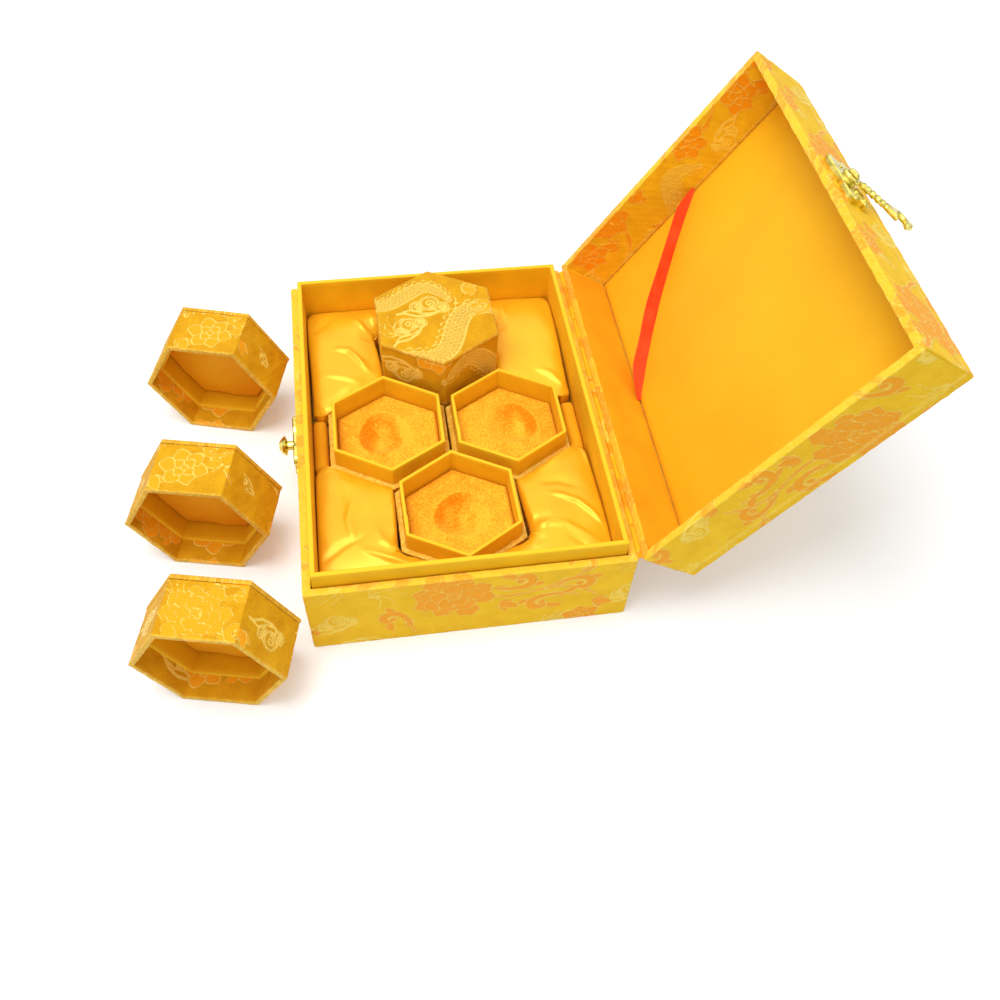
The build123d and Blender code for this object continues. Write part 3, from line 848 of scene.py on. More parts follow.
@dataclass
class Finishes:
    """Every material of the box, made once."""

    # Brocade of the box and the lid, and the same cloth recoloured for the hexagonal boxes: a darker, more
    # olive ground as painted shade for how its threads catch the light there
    brocade: Material = made_from(Brocade())
    shaded_copy: Material = made_from(
        Brocade("rayon_brocade_crosswise", "E6AC1C", "CC8C10", "FDB626", "F5A018", "FFDF6E", 0.75)
    )
    # Coated paper on the collars, liners and undersides, with a painted highlight along one edge of each
    # ring
    covering: Material = made_from(
        Soft(
            "yellow_covering_paper", "F3BE1E", "E8B01A", patch=14, grain=0.35, relief=0.00012,
            specular=0.3, sheen=0.04, rim_highlight="FBCB30",
        )
    )
    # Glossy acetate satin of the cushions, its grain drawn out along the box's width
    satin: Material = made_from(
        Soft(
            "acetate_satin", "FBC320", "F8B21C", patch=34, grain=0.35, relief=0.00003, roughness=0.33,
            metallic=0.18, specular=0.75, sheen=0.06, sheen_colour="FFEC84", highlight="FFF4B0",
            stretch=(1.0, 5.0, 1.0),
        )
    )
    # Duller satin of the lid's panel, and a deeper orange plain cloth for the hinge's inside and the lid
    # pads, which on the rolls' satin is painted shade where they lie low
    lining: Material = made_from(
        Soft("satin_faced_lining", "F4BA22", "EEAD1C", patch=60, grain=0.5, metallic=0.05, sheen=0.1)
    )
    strip: Material = made_from(
        Soft(
            "plain_strip_and_shaded_satin", "FBB420", "F5A41A", patch=22, grain=0.4, relief=0.00008, specular=0.35,
            sheen=0.1,
        )
    )
    # Orange velvet of the pads, with painted shade on its pile: darker in each dimple's hollow and on one
    # side of its slope, over a brushed tone
    velvet: Material = made_from(
        Soft(
            "orange_velvet", "FFC93A", "EF880E", patch=9, grain=0.85, relief=0.0007, roughness=0.9,
            specular=0.1, sheen=0.4, sheen_colour="FFD45A", sheen_roughness=0.5, nap_and_shade=True,
        )
    )
    # Plated castings of the clasp and the stud
    plating: Material = made_from(Plating())
    # Red satin of the leaflet ribbon
    ribbon: Material = made_from(
        Soft(
            "red_satin_ribbon", "FA5A34", "E8401E", patch=12, grain=0.4, relief=0.00005, roughness=0.4,
            metallic=0.05, specular=0.5, sheen=0.3, sheen_colour="FF8A6A", highlight="FFB49A",
        )
    )
    # Bare board and foam, which the cloth and the cushions hide
    board: Material = made_from(
        Soft(
            "greyboard", "9C9283", "867B6B", patch=12, grain=0.7, relief=0.00008, roughness=0.85,
            specular=0.2, highlight="FFFFFF",
        )
    )
    foam: Material = made_from(
        Soft(
            "upholstery_foam", "D9B45A", "B98C38", patch=8, grain=1.0, relief=0.0003, roughness=0.95,
            specular=0.1,
        )
    )


# Wrapped cloth


def unit(vector: np.ndarray) -> np.ndarray:
    """A vector's direction."""
    return vector / np.hypot(*vector)


def walked(path: np.ndarray) -> np.ndarray:
    """How far along a path in the plane each of its points lies."""
    return np.concatenate([[0], np.cumsum(np.hypot(*np.diff(path, axis=0).T))])


@dataclass
class Outline:
    """A convex outline with rounded corners, walked anticlockwise in even steps."""

    corners: list[Pair]
    radius: float
    step: float
    arc: int = 3
    sharpest: float = 0.05

    def ring(self, inset: float) -> np.ndarray:
        """Points round the outline, drawn in by an inset, the first repeated at the end."""
        grid = np.array(self.corners)
        ahead = np.roll(grid, -1, axis=0)
        radius = max(self.radius - inset, self.sharpest)
        bends = []
        for corner, before, after in zip(grid, np.roll(grid, 1, axis=0), ahead):
            back, on = unit(before - corner), unit(after - corner)
            bisector = unit(back + on)
            half = np.arccos(np.clip(back @ on, -1, 1)) / 2
            corner = corner + bisector * inset / sin(half)
            middle = corner + bisector * radius / sin(half)
            bends.append((corner + back * radius / tan(half), middle, corner + on * radius / tan(half)))
        points = []
        for k, (_, _, start) in enumerate(bends):
            arc_start, middle, arc_end = bends[(k + 1) % len(bends)]
            steps = max(int(round(np.hypot(*(ahead[k] - grid[k])) / self.step)), 2)
            points += [start + share * (arc_start - start) for share in np.linspace(0, 1, steps + 1)]
            first, last = (atan2(*(end - middle)[::-1]) for end in (arc_start, arc_end))
            sweep = (last - first) % (2 * pi)
            for i in range(1, self.arc):
                angle = first + sweep * i / self.arc
                points.append(middle + radius * np.array([cos(angle), sin(angle)]))
        return np.array([*points, points[0]])

    def rings(self, section: np.ndarray) -> tuple[np.ndarray, np.ndarray]:
        """The outline at every inset of a section, and the height of every point."""
        rings = np.array([self.ring(inset) for inset in section[:, 0]])
        return rings, np.broadcast_to(section[:, 1, None], rings.shape[:2])


def rectangle(x_low: float, x_high: float, y_low: float, y_high: float) -> list[Pair]:
    """The corners of a rectangle, anticlockwise."""
    return [(x_low, y_low), (x_high, y_low), (x_high, y_high), (x_low, y_high)]


def hexagon(radius: float) -> list[Pair]:
    """The corners of a hexagon with corners on the Y axis, anticlockwise."""
    return [(radius * cos(HEX_ANGLE + k * pi / 3), radius * sin(HEX_ANGLE + k * pi / 3)) for k in range(6)]


def hex_reach(points: np.ndarray) -> np.ndarray:
    """How far out towards the nearest flat side of such a hexagon each point lies."""
    sides = [points[:, 0] * cos(k * pi / 3) + points[:, 1] * sin(k * pi / 3) for k in range(6)]
    return np.max(sides, axis=0)


def profile(corners: Sequence[Pair], radius: float, steps: Sequence[float]) -> np.ndarray:
    """Walk a wall's section with its bends rounded.

    Args:
        corners: Inset and height at each bend, from one end of the cloth to the other.
        radius: The rounding at each bend.
        steps: How far apart the rows are on each straight.

    Returns:
        Rows of inset, height and length of cloth so far.
    """
    points = [np.array(c, dtype=float) for c in corners]
    rows = [points[0]]
    for i, step in enumerate(steps):
        start, end = rows[-1], points[i + 1]
        last = i == len(steps) - 1
        stop = end if last else end - unit(end - start) * radius
        count = max(int(ceil(np.hypot(*(stop - start)) / step)), 1)
        rows += [start + (stop - start) * (j + 1) / count for j in range(count)]
        if not last:
            leave = end + unit(points[i + 2] - end) * radius
            for t in (0.33, 0.67, 1.0):
                rows.append((1 - t) ** 2 * stop + 2 * t * (1 - t) * end + t**2 * leave)
    return np.column_stack([rows, walked(np.array(rows))])


def ripple(u: np.ndarray, v: np.ndarray, period: float) -> np.ndarray:
    """A smooth unevenness from -1 to 1 over two lengths, the same on every run."""
    a, b = u * 2 * pi / period, v * 2 * pi / period
    waves = np.sin(a + 1.7 * np.sin(0.37 * b + 0.4)) + np.sin(0.61 * b - 0.53 * a + 2.1)
    return (waves + np.sin(1.73 * a + 0.9 * b + 4.0)) / 3


def grid_step(fine: float) -> float:
    """The cloth's step, as given."""
    return fine


def add_grid(name: str, columns: int, rows: int, size: float = 1.0) -> Object:
    """Add a flat square grid round zero, of so many faces each way."""
    deselect()
    bpy.ops.mesh.primitive_grid_add(x_subdivisions=columns, y_subdivisions=rows, size=size)
    piece = bpy.context.object
    piece.name = name
    piece.data.name = name
    return piece


def write_values(piece: Object, name: str, values: np.ndarray) -> None:
    """Keep a value for each point of a piece, under the name that its material reads."""
    kept = piece.data.attributes.new(name, "FLOAT", "POINT")
    kept.data.foreach_set("value", values.ravel().astype(np.float32))


def lay_cloth(
    piece: Object, cloth: np.ndarray, figures: Sequence[Figure] = (),
    fray_and_glint: np.ndarray | None = None,
) -> None:
    """Give a piece its map on the flat cloth, and weave figures there.

    Args:
        piece: The piece.
        cloth: Where each of its points lies on the cloth, in millimetres.
        figures: The figures to weave. Plain cloth has none.
        fray_and_glint: Worn thread and a painted glint at each of its points, from 0 to 1.
    """
    mesh = piece.data
    plan = cloth.reshape(-1, 2)
    corners = np.empty(len(mesh.loops), dtype=np.int32)
    mesh.loops.foreach_get("vertex_index", corners)
    while mesh.uv_layers:
        mesh.uv_layers.remove(mesh.uv_layers[0])
    layer = mesh.uv_layers.new(name="cloth")
    layer.data.foreach_set("uv", plan[corners].astype(np.float32).ravel())
    if figures:
        woven = Loom(plan).weave(figures, fray_and_glint)
        shade = mesh.attributes.new("weave", "FLOAT_COLOR", "POINT")
        shade.data.foreach_set("color", woven.astype(np.float32).ravel())


def cloth_grid(
    name: str, points: np.ndarray, cloth: np.ndarray, figures: Sequence[Figure] = (),
    fray_and_glint: np.ndarray | None = None,
) -> Object:
    """Make a grid of cloth and lay it where it belongs.

    Args:
        name: The piece's name.
        points: Places, as rows by columns by three.
        cloth: Places on the flat cloth, as rows by columns by two.
        figures: The figures to weave. Plain cloth has none.
        fray_and_glint: Worn thread and a painted glint at each point, from 0 to 1.

    Returns:
        The grid, with its map and its woven figures.
    """
    rows, columns = points.shape[:2]
    piece = add_grid(name, columns - 1, rows - 1)
    write_points(piece, points.reshape(-1, 3))
    lay_cloth(piece, cloth, figures, fray_and_glint)
    return piece


@dataclass
class Wrap:
    """Cloth wrapped round a wall: a ring of columns by a section of rows."""

    name: str
    outline: Outline
    section: np.ndarray
    run: Run
    shift: Pair = (0.0, 0.0)
    figures: Sequence[Figure] = FLORAL
    unevenness: float = 0.07
    periods: Pair = (7.3, 5.1)
    mouth: float = 0.0
    seam: float | None = None
    seam_fray_and_glint: float = 1.6
    seam_height: float = 1.2
    fray_and_glint_height: float = 0.8
    fray_and_glint: float = 0.6

    def build(self) -> Object:
        """Weave and wrap the cloth, as a closed tube in millimetres."""
        base = self.outline.ring(0.0)
        outward = base - self.outline.ring(1.0)
        outward = outward / np.maximum(np.hypot(*outward.T), TINY)[:, None]
        rings, heights = self.outline.rings(self.section)
        depth = np.broadcast_to(self.section[:, 2, None], rings.shape[:2])
        if self.run is Run.ROUND:
            cloth = np.stack([np.broadcast_to(walked(base), rings.shape[:2]), depth], axis=-1)
        else:
            cloth = base[None] + outward[None] * depth[..., None]
        cloth = cloth + np.array(self.shift)
        rise = self.unevenness * ripple(cloth[..., 0], cloth[..., 1], self.periods[0])
        points = np.concatenate([rings + outward[None] * rise[..., None], heights[..., None]], axis=-1)
        points[..., 2] += 0.6 * self.unevenness * ripple(cloth[..., 1], cloth[..., 0], self.periods[1])
        points[:, -1] = points[:, 0]
        points[-1] = points[0]
        # Fray and a painted glint along the rim's bend at the mouth, and along the seam
        fray_and_glint = np.clip(1.15 - np.abs(heights - self.mouth) / self.fray_and_glint_height, 0, 1)
        if self.seam is not None:
            seam = np.clip(1.1 - np.abs(heights - self.seam) / self.seam_height, 0, 1)
            fray_and_glint = np.maximum(fray_and_glint, self.seam_fray_and_glint * seam)
        piece = cloth_grid(self.name, points, cloth, self.figures, (fray_and_glint * self.fray_and_glint).ravel())
        weld(piece)
        return piece


def hex_sheet(name: str, radius: float, step: float) -> Object:
    """A flat grid round zero, cut to a hexagon with corners on the Y axis.

    Args:
        name: The piece's name.
        radius: From the middle to a corner.
        step: The grid's step.

    Returns:
        The sheet, in millimetres.
    """
    count = int(2 * radius / step)
    piece = add_grid(name, count, count, 2 * radius)
    bpy.ops.object.mode_set(mode="EDIT")
    for k in range(6):
        normal = Vector((cos(k * pi / 3), sin(k * pi / 3), 0))
        edge = normal * (radius * cos(HEX_ANGLE))
        bpy.ops.mesh.select_all(action="SELECT")
        bpy.ops.mesh.bisect(plane_co=edge, plane_no=normal, clear_outer=True)
    bpy.ops.object.mode_set(mode="OBJECT")
    return piece


def skirt(piece: Object, steps: Sequence[Pair]) -> None:
    """Extrude a sheet's boundary outwards and down, step by step, and close it with a face.

    Args:
        piece: The sheet.
        steps: For each step, the scale in the plane and the drop.
    """
    take(piece)
    bpy.ops.object.mode_set(mode="EDIT")
    bpy.ops.mesh.select_mode(type="EDGE")
    bpy.ops.mesh.select_all(action="DESELECT")
    bpy.ops.mesh.select_non_manifold(extend=False)
    for scale, drop in steps:
        bpy.ops.mesh.extrude_region_move(TRANSFORM_OT_translate={"value": (0, 0, -drop)})
        bpy.ops.transform.resize(value=(scale, scale, 1), center_override=(0, 0, 0))
    bpy.ops.mesh.edge_face_add()
    bpy.ops.mesh.select_all(action="SELECT")
    bpy.ops.mesh.normals_make_consistent(inside=False)
    bpy.ops.mesh.select_mode(type="VERT")
    bpy.ops.object.mode_set(mode="OBJECT")


# The box


@dataclass
class PaperRing:
    """A board ring covered in paper, with soft edges and a lapped joint on its inner face."""

    name: str
    outline: Outline
    wall: float
    low: float
    high: float
    edge: float = 0.5
    laps: tuple[int, ...] = ()
    lap_thickness: float = 0.22
    lap_gap: float = 0.04
    mouth: float | None = None
    rim_highlight_height: float = 0.45
    unevenness: float = 0.05
    period: float = 9.0
    column: float = 1.7

    def build(self) -> Object:
        """Make the closed ring, in millimetres."""
        low, high, wall = self.low, self.high, self.wall
        corners = [(0, low), (0, high), (wall, high), (wall, low), (0, low)]
        section = profile(corners, self.edge, [grid_step(2.0)] * 4)
        rings, heights = self.outline.rings(section)
        inner = np.abs(section[:, 0] - wall) < wall / 2
        for column in self.laps:
            self.lap(rings, inner, column)
        walk = np.arange(rings.shape[1]) * self.column
        points = np.concatenate([rings, heights[..., None]], axis=-1)
        wave = ripple(walk[None] + 0 * heights, heights, self.period)
        points[..., 2] += self.unevenness * wave * (heights > low + 1)
        points[:, -1] = points[:, 0]
        points[-1] = points[0]
        piece = cloth_grid(self.name, points, rings)
        mouth = high if self.mouth is None else self.mouth
        # A painted highlight: a pale band along the ring's edge at its mouth
        wear_and_highlight = np.clip(1.5 - np.abs(points[..., 2] - mouth) / self.rim_highlight_height, 0, 1)
        write_values(piece, "rim_highlight", wear_and_highlight)
        weld(piece)
        return piece

    def lap(self, rings: np.ndarray, inner: np.ndarray, column: int) -> None:
        """Lap the paper's end over its start: a small step at a column, fading to the next corner."""
        middle = (rings[:, column] + rings[:, column + 1]) / 2
        on = rings[:, column + 1] - rings[:, column]
        on = on / np.hypot(*on.T)[:, None]
        rings[:, column] = middle - self.lap_gap * on
        rings[:, column + 1] = middle + self.lap_gap * on
        normal = np.stack([-on[:, 1], on[:, 0]], axis=1)
        for i, share in enumerate((1.0, 1.0, 0.8, 0.5)):
            rings[inner, column + 1 + i] += normal[inner] * self.lap_thickness * share


@dataclass
class Base:
    """The base: its cloth, collar, foam, stud and the plain parts that stay as they are."""

    finishes: Finishes
    board: float = 2.4
    cloth: float = 0.4
    corner: float = 0.8
    bend: float = 0.55
    step: float = 0.65
    foot: float = 0.05
    shift: Pair = (-27.0, -4.0)
    collar_board: float = 2.0
    collar_edge: float = 0.55
    collar_corner: float = 0.4

    def build(self) -> None:
        """Wrap the walls and dress the rest."""
        _, (half_x, half_y, top) = room("base_brocade")
        wall = self.board + 2 * self.cloth
        step = grid_step(self.step)
        fold = (self.cloth, self.foot)
        corners = [fold, (0, self.foot), (0, top), (wall, top), (wall, self.board + 0.2), fold]
        section = profile(corners, self.bend / 2, [step, step, step, 6.0, 6.0])
        outline = Outline(rectangle(-half_x, half_x, -half_y, half_y), self.corner, step)
        piece = Wrap("base_cloth", outline, section, Run.ROUND, self.shift, mouth=top).build()
        Seat("box_base", "brocade", ("base_brocade",)).settle(piece, self.finishes.brocade, angle=50)
        dress(["base_board"], self.finishes.board)
        self.collar()
        dress(["foam_insert"], self.finishes.foam)
        dress(["stud_plate", "stud_nails", "stud_knob"], self.finishes.plating)

    def collar(self) -> None:
        """The papered collar inside the walls."""
        low, high = room("neck_frame")
        corners = rectangle(low[0], high[0], low[1], high[1])
        outline = Outline(corners, self.collar_corner, grid_step(2.0))
        ring = PaperRing("neck_collar", outline, self.collar_board, low[2], high[2], self.collar_edge)
        Seat("box_base", "paper", ("neck_frame",)).settle(ring.build(), self.finishes.covering, angle=40)


@dataclass
class Crease:
    """A fold drawn into satin: its width, how high it stands and its line in plan."""

    width: float
    height: float
    line: Sequence[Pair]


# Creases and hollows of the cushions: width, height, then the places that the line runs through
CREASES = tuple(
    Crease(width, height, line)
    for width, height, *line in (
        (1.5, 1.1, (-38, 68), (-33, 61), (-28.5, 55)),
        (1.6, 1.3, (-47, 48), (-40, 46), (-35.5, 40), (-32, 34)),
        (2.0, 0.7, (-52, 34), (-44, 31), (-36, 28)),
        (2.6, -0.6, (-57, 60), (-50, 66), (-44, 74)),
        (1.6, 0.7, (-30, 74), (-28, 68), (-27, 62)),
        (1.8, 0.8, (34, 76), (34, 67), (33.5, 58)),
        (1.8, 0.9, (44, 28), (50, 24), (56, 17)),
        (3.5, -0.35, (30, 50), (40, 46), (52, 44)),
        (1.8, 0.9, (-57, -18), (-48, -19), (-40, -24)),
        (2.6, -0.7, (-51, -25), (-48.5, -36), (-49, -47)),
        (2.4, 0.9, (-43, -36), (-46, -48), (-44, -60)),
        (1.6, 1.3, (-41, -63), (-31, -68.5), (-21, -72)),
        (2.0, -0.7, (-57, -66), (-48, -60), (-40, -57)),
        (1.8, 0.7, (-36, -52), (-33, -60), (-26, -66)),
        (2.0, 1.3, (55.5, -14), (50, -20), (43, -26), (35, -31)),
        (1.6, 1.0, (56, -15), (57, -22), (57.4, -30)),
        (1.5, 1.5, (37, -45), (42, -47), (48, -50.3), (53, -56), (57, -62)),
        (2.6, -0.9, (34, -38), (42, -38), (50, -42)),
        (1.7, 1.1, (26, -61), (34, -60), (41, -61.6), (53, -69.5)),
        (1.8, 0.8, (10, -73), (20, -72), (32, -74)),
        (1.6, -0.6, (40, -66), (46, -70), (50, -76)),
    )
)

# Centre, turn in radians and flat half width of a hexagonal box, in millimetres
Well = tuple[float, float, float, float]


@dataclass
class Insert:
    """The padded satin round the hexagonal boxes: three cushions and two rolls."""

    finishes: Finishes
    voxel: float = 2.6
    shrink: float = 0.7
    pressure: float = 4.0
    frames: int = 20
    swell_limit: float = 2.4
    well_gap: float = 0.2
    well_reach: float = 7.0
    corner: float = 5.0
    floor: float = 22.05
    press: float = 0.15
    side_round: float = 3.0
    edge_height: float = 29.0
    lip_height: float = 30.5
    lip_round: float = 4.0
    lift_reach: float = 4.5
    roll_voxel: float = 0.9
    roll_gather: Pair = (0.12, 14.0)
    fold_depth: float = 5.0
    top_swell: Pair = (0.3, 31.0)
    slack: float = 0.1

    def build(self, wells: Sequence[Well]) -> None:
        """Make every cushion and roll round the boxes' wells."""
        for node in ("satin_cushion_back", "satin_cushion_front_left", "satin_cushion_front_right"):
            self.cushion(node, wells)
        for node in ("satin_roll_left", "satin_roll_right"):
            self.roll(node)

    def cushion(self, node: str, wells: Sequence[Well]) -> None:
        """Blow one cushion up, draw its folds in and keep it out of the boxes' room."""
        piece = cad_copy(node, node.replace("satin_", ""))
        apply_modifier(piece, "REMESH", mode="VOXEL", voxel_size=self.voxel)
        self.swell(piece)
        apply_modifier(piece, "SUBSURF", levels=2, render_levels=2)
        low, high = room(node)
        points = self.fold(self.press_out(read_points(piece), low, high))
        write_points(piece, self.keep_in(points, low, high, wells))
        Seat("box_base", "satin", (node,), 0.7).settle(piece, self.finishes.satin)

    def swell(self, piece: Object) -> None:
        """Simulate the cloth under pressure and keep what it gives, within a limit."""
        start = read_points(piece)
        write_points(piece, (start - normals_of(piece) * self.shrink) * MM)
        modifier = piece.modifiers.new("cloth", "CLOTH")
        modifier.settings.use_pressure = True
        modifier.settings.uniform_pressure_force = self.pressure
        modifier.settings.effector_weights.gravity = 0
        modifier.settings.quality = 4
        for frame in range(1, self.frames + 1):
            bpy.context.scene.frame_set(frame)
        shown = piece.evaluated_get(bpy.context.evaluated_depsgraph_get())
        swollen = np.array([v.co for v in shown.data.vertices]) / MM
        piece.modifiers.remove(modifier)
        bpy.context.scene.frame_set(1)
        move = swollen - start
        length = np.maximum(np.hypot(np.hypot(move[:, 0], move[:, 1]), move[:, 2]), TINY)
        write_points(piece, start + move * np.minimum(1, self.swell_limit / length)[:, None])

    def fold(self, points: np.ndarray) -> np.ndarray:
        """Raise the folds and sink the hollows of the top."""
        plan = points[:, :2]
        top = np.clip((points[:, 2] - self.floor - self.fold_depth) / self.fold_depth, 0, 1)
        for crease in CREASES:
            distance, along, side = nearest(plan, np.array(crease.line, dtype=float))
            fade = np.sin(pi * np.clip(along, 0.02, 0.98)) ** 0.6
            skew = np.where(side > 0, 1.0, 0.6)
            points[:, 2] += top * fade * crease.height * np.exp(-((distance / (crease.width * skew)) ** 2))
        height, period = self.top_swell
        points[:, 2] += top * height * ripple(plan[:, 0], plan[:, 1], period)
        return points

    def press_out(self, points: np.ndarray, low: np.ndarray, high: np.ndarray) -> np.ndarray:
        """Press a cushion's sides against the room that it fills, and lift its edge there."""
        for axis in (0, 1):
            near, far = points[:, axis].min(), points[:, axis].max()
            share = (points[:, axis] - near) / (far - near)
            points[:, axis] = low[axis] - self.press + share * (high[axis] - low[axis] + 2 * self.press)
        away = np.full(len(points), FAR)
        for axis, edge, sign in ((0, low[0], 1), (0, high[0], -1), (1, low[1], 1), (1, high[1], -1)):
            gap = (points[:, axis] - edge) * sign
            closer = (gap > 0) & (gap < self.side_round)
            points[closer, axis] = edge + sign * gap[closer] ** 1.6 / self.side_round**0.6
            away = np.minimum(away, np.maximum(gap, 0))
        inner = np.clip(points[:, :2], low[:2] + self.corner, high[:2] - self.corner)
        out = points[:, :2] - inner
        length = np.maximum(np.hypot(*out.T), TINY)
        points[:, :2] = inner + out * np.minimum(1, self.corner / length)[:, None]
        return self.lift(points, away, self.edge_height)

    def lift(self, points: np.ndarray, away: np.ndarray, height: float) -> np.ndarray:
        """Lift the rounded edge of the top towards a height, less the farther it is away."""
        share = np.clip(1 - away / self.lift_reach, 0, 1) ** 1.5 * (points[:, 2] > self.floor + 3)
        points[:, 2] += np.clip(height - points[:, 2], 0, 9) * share
        return points

    def keep_in(
        self, points: np.ndarray, low: np.ndarray, high: np.ndarray, wells: Sequence[Well]
    ) -> np.ndarray:
        """Keep a cushion inside its own room and out of the boxes'."""
        points[:, 0] = np.clip(points[:, 0], low[0] - self.slack, high[0] + self.slack)
        points[:, 1] = np.clip(points[:, 1], low[1], high[1] + self.slack)
        points[:, 2] = np.clip(points[:, 2], self.floor, high[2] + self.swell_limit)
        for x, y, turn, flat in wells:
            for k in range(6):
                points = self.meet_side(points, (x, y), turn + k * pi / 3, flat + self.well_gap)
        return points

    def meet_side(self, points: np.ndarray, centre: Pair, facing: float, stop: float) -> np.ndarray:
        """Push a cushion out of one side's sector of a well, then draw it against that side.

        Args:
            points: The cushion's points.
            centre: The well's centre.
            facing: Where the side faces, in radians.
            stop: How near to the centre the cushion may come.

        Returns:
            The moved points.
        """
        normal = np.array([cos(facing), sin(facing)])
        offset = points[:, :2] - centre
        reach = offset @ normal
        across = np.abs(offset @ np.array([-normal[1], normal[0]]))
        sector = reach * tan(HEX_ANGLE)
        inside = (reach < stop) & (reach > 0) & (across <= sector)
        points[inside, :2] += (stop - reach[inside])[:, None] * normal
        side = stop - self.well_gap
        beside = (reach > side) & (reach < side + self.well_reach) & (across <= sector + 1)
        if not beside.any():
            return points
        gap = np.maximum(reach[beside] - stop, 0)
        spare = max(gap.min() - 0.02, 0)
        moved = spare * np.clip(1 - gap / self.well_reach, 0, 1)
        closer = np.clip(gap - moved, 0, self.lip_round)
        bent = closer - closer**1.7 / self.lip_round**0.7
        moved = moved + np.where(gap - moved < self.lip_round, bent, 0)
        points[beside, :2] -= moved[:, None] * normal
        gap = np.maximum((points[:, :2] - centre) @ normal - stop, 0)
        gap[(across > sector + 1) | (reach <= 0)] = FAR
        return self.lift(points, gap, self.lip_height)

    def roll(self, node: str) -> None:
        """A narrow padded strip with a few gathers across it."""
        piece = cad_copy(node, node.replace("satin_", ""))
        apply_modifier(piece, "REMESH", mode="VOXEL", voxel_size=self.roll_voxel)
        apply_modifier(piece, "SMOOTH", factor=0.6, iterations=6)
        apply_modifier(piece, "SUBSURF", levels=1, render_levels=1)
        points = read_points(piece)
        low, high = room(node)
        share = (points - points.min(axis=0)) / (points.max(axis=0) - points.min(axis=0))
        points = low - (0.1, 0.6, 0) + share * (high - low + (0.2, 1.2, 0.6))
        top = np.clip((points[:, 2] - self.floor) / 4, 0, 1)
        height, period = self.roll_gather
        points[:, 2] += top * height * ripple(points[:, 1], points[:, 0], period)
        write_points(piece, points)
        # The rolls' satin gets the deeper orange cloth as painted shade, where they lie low between the
        # collar and the cups
        Seat("box_base", "satin", (node,), 0.5).settle(piece, self.finishes.strip)


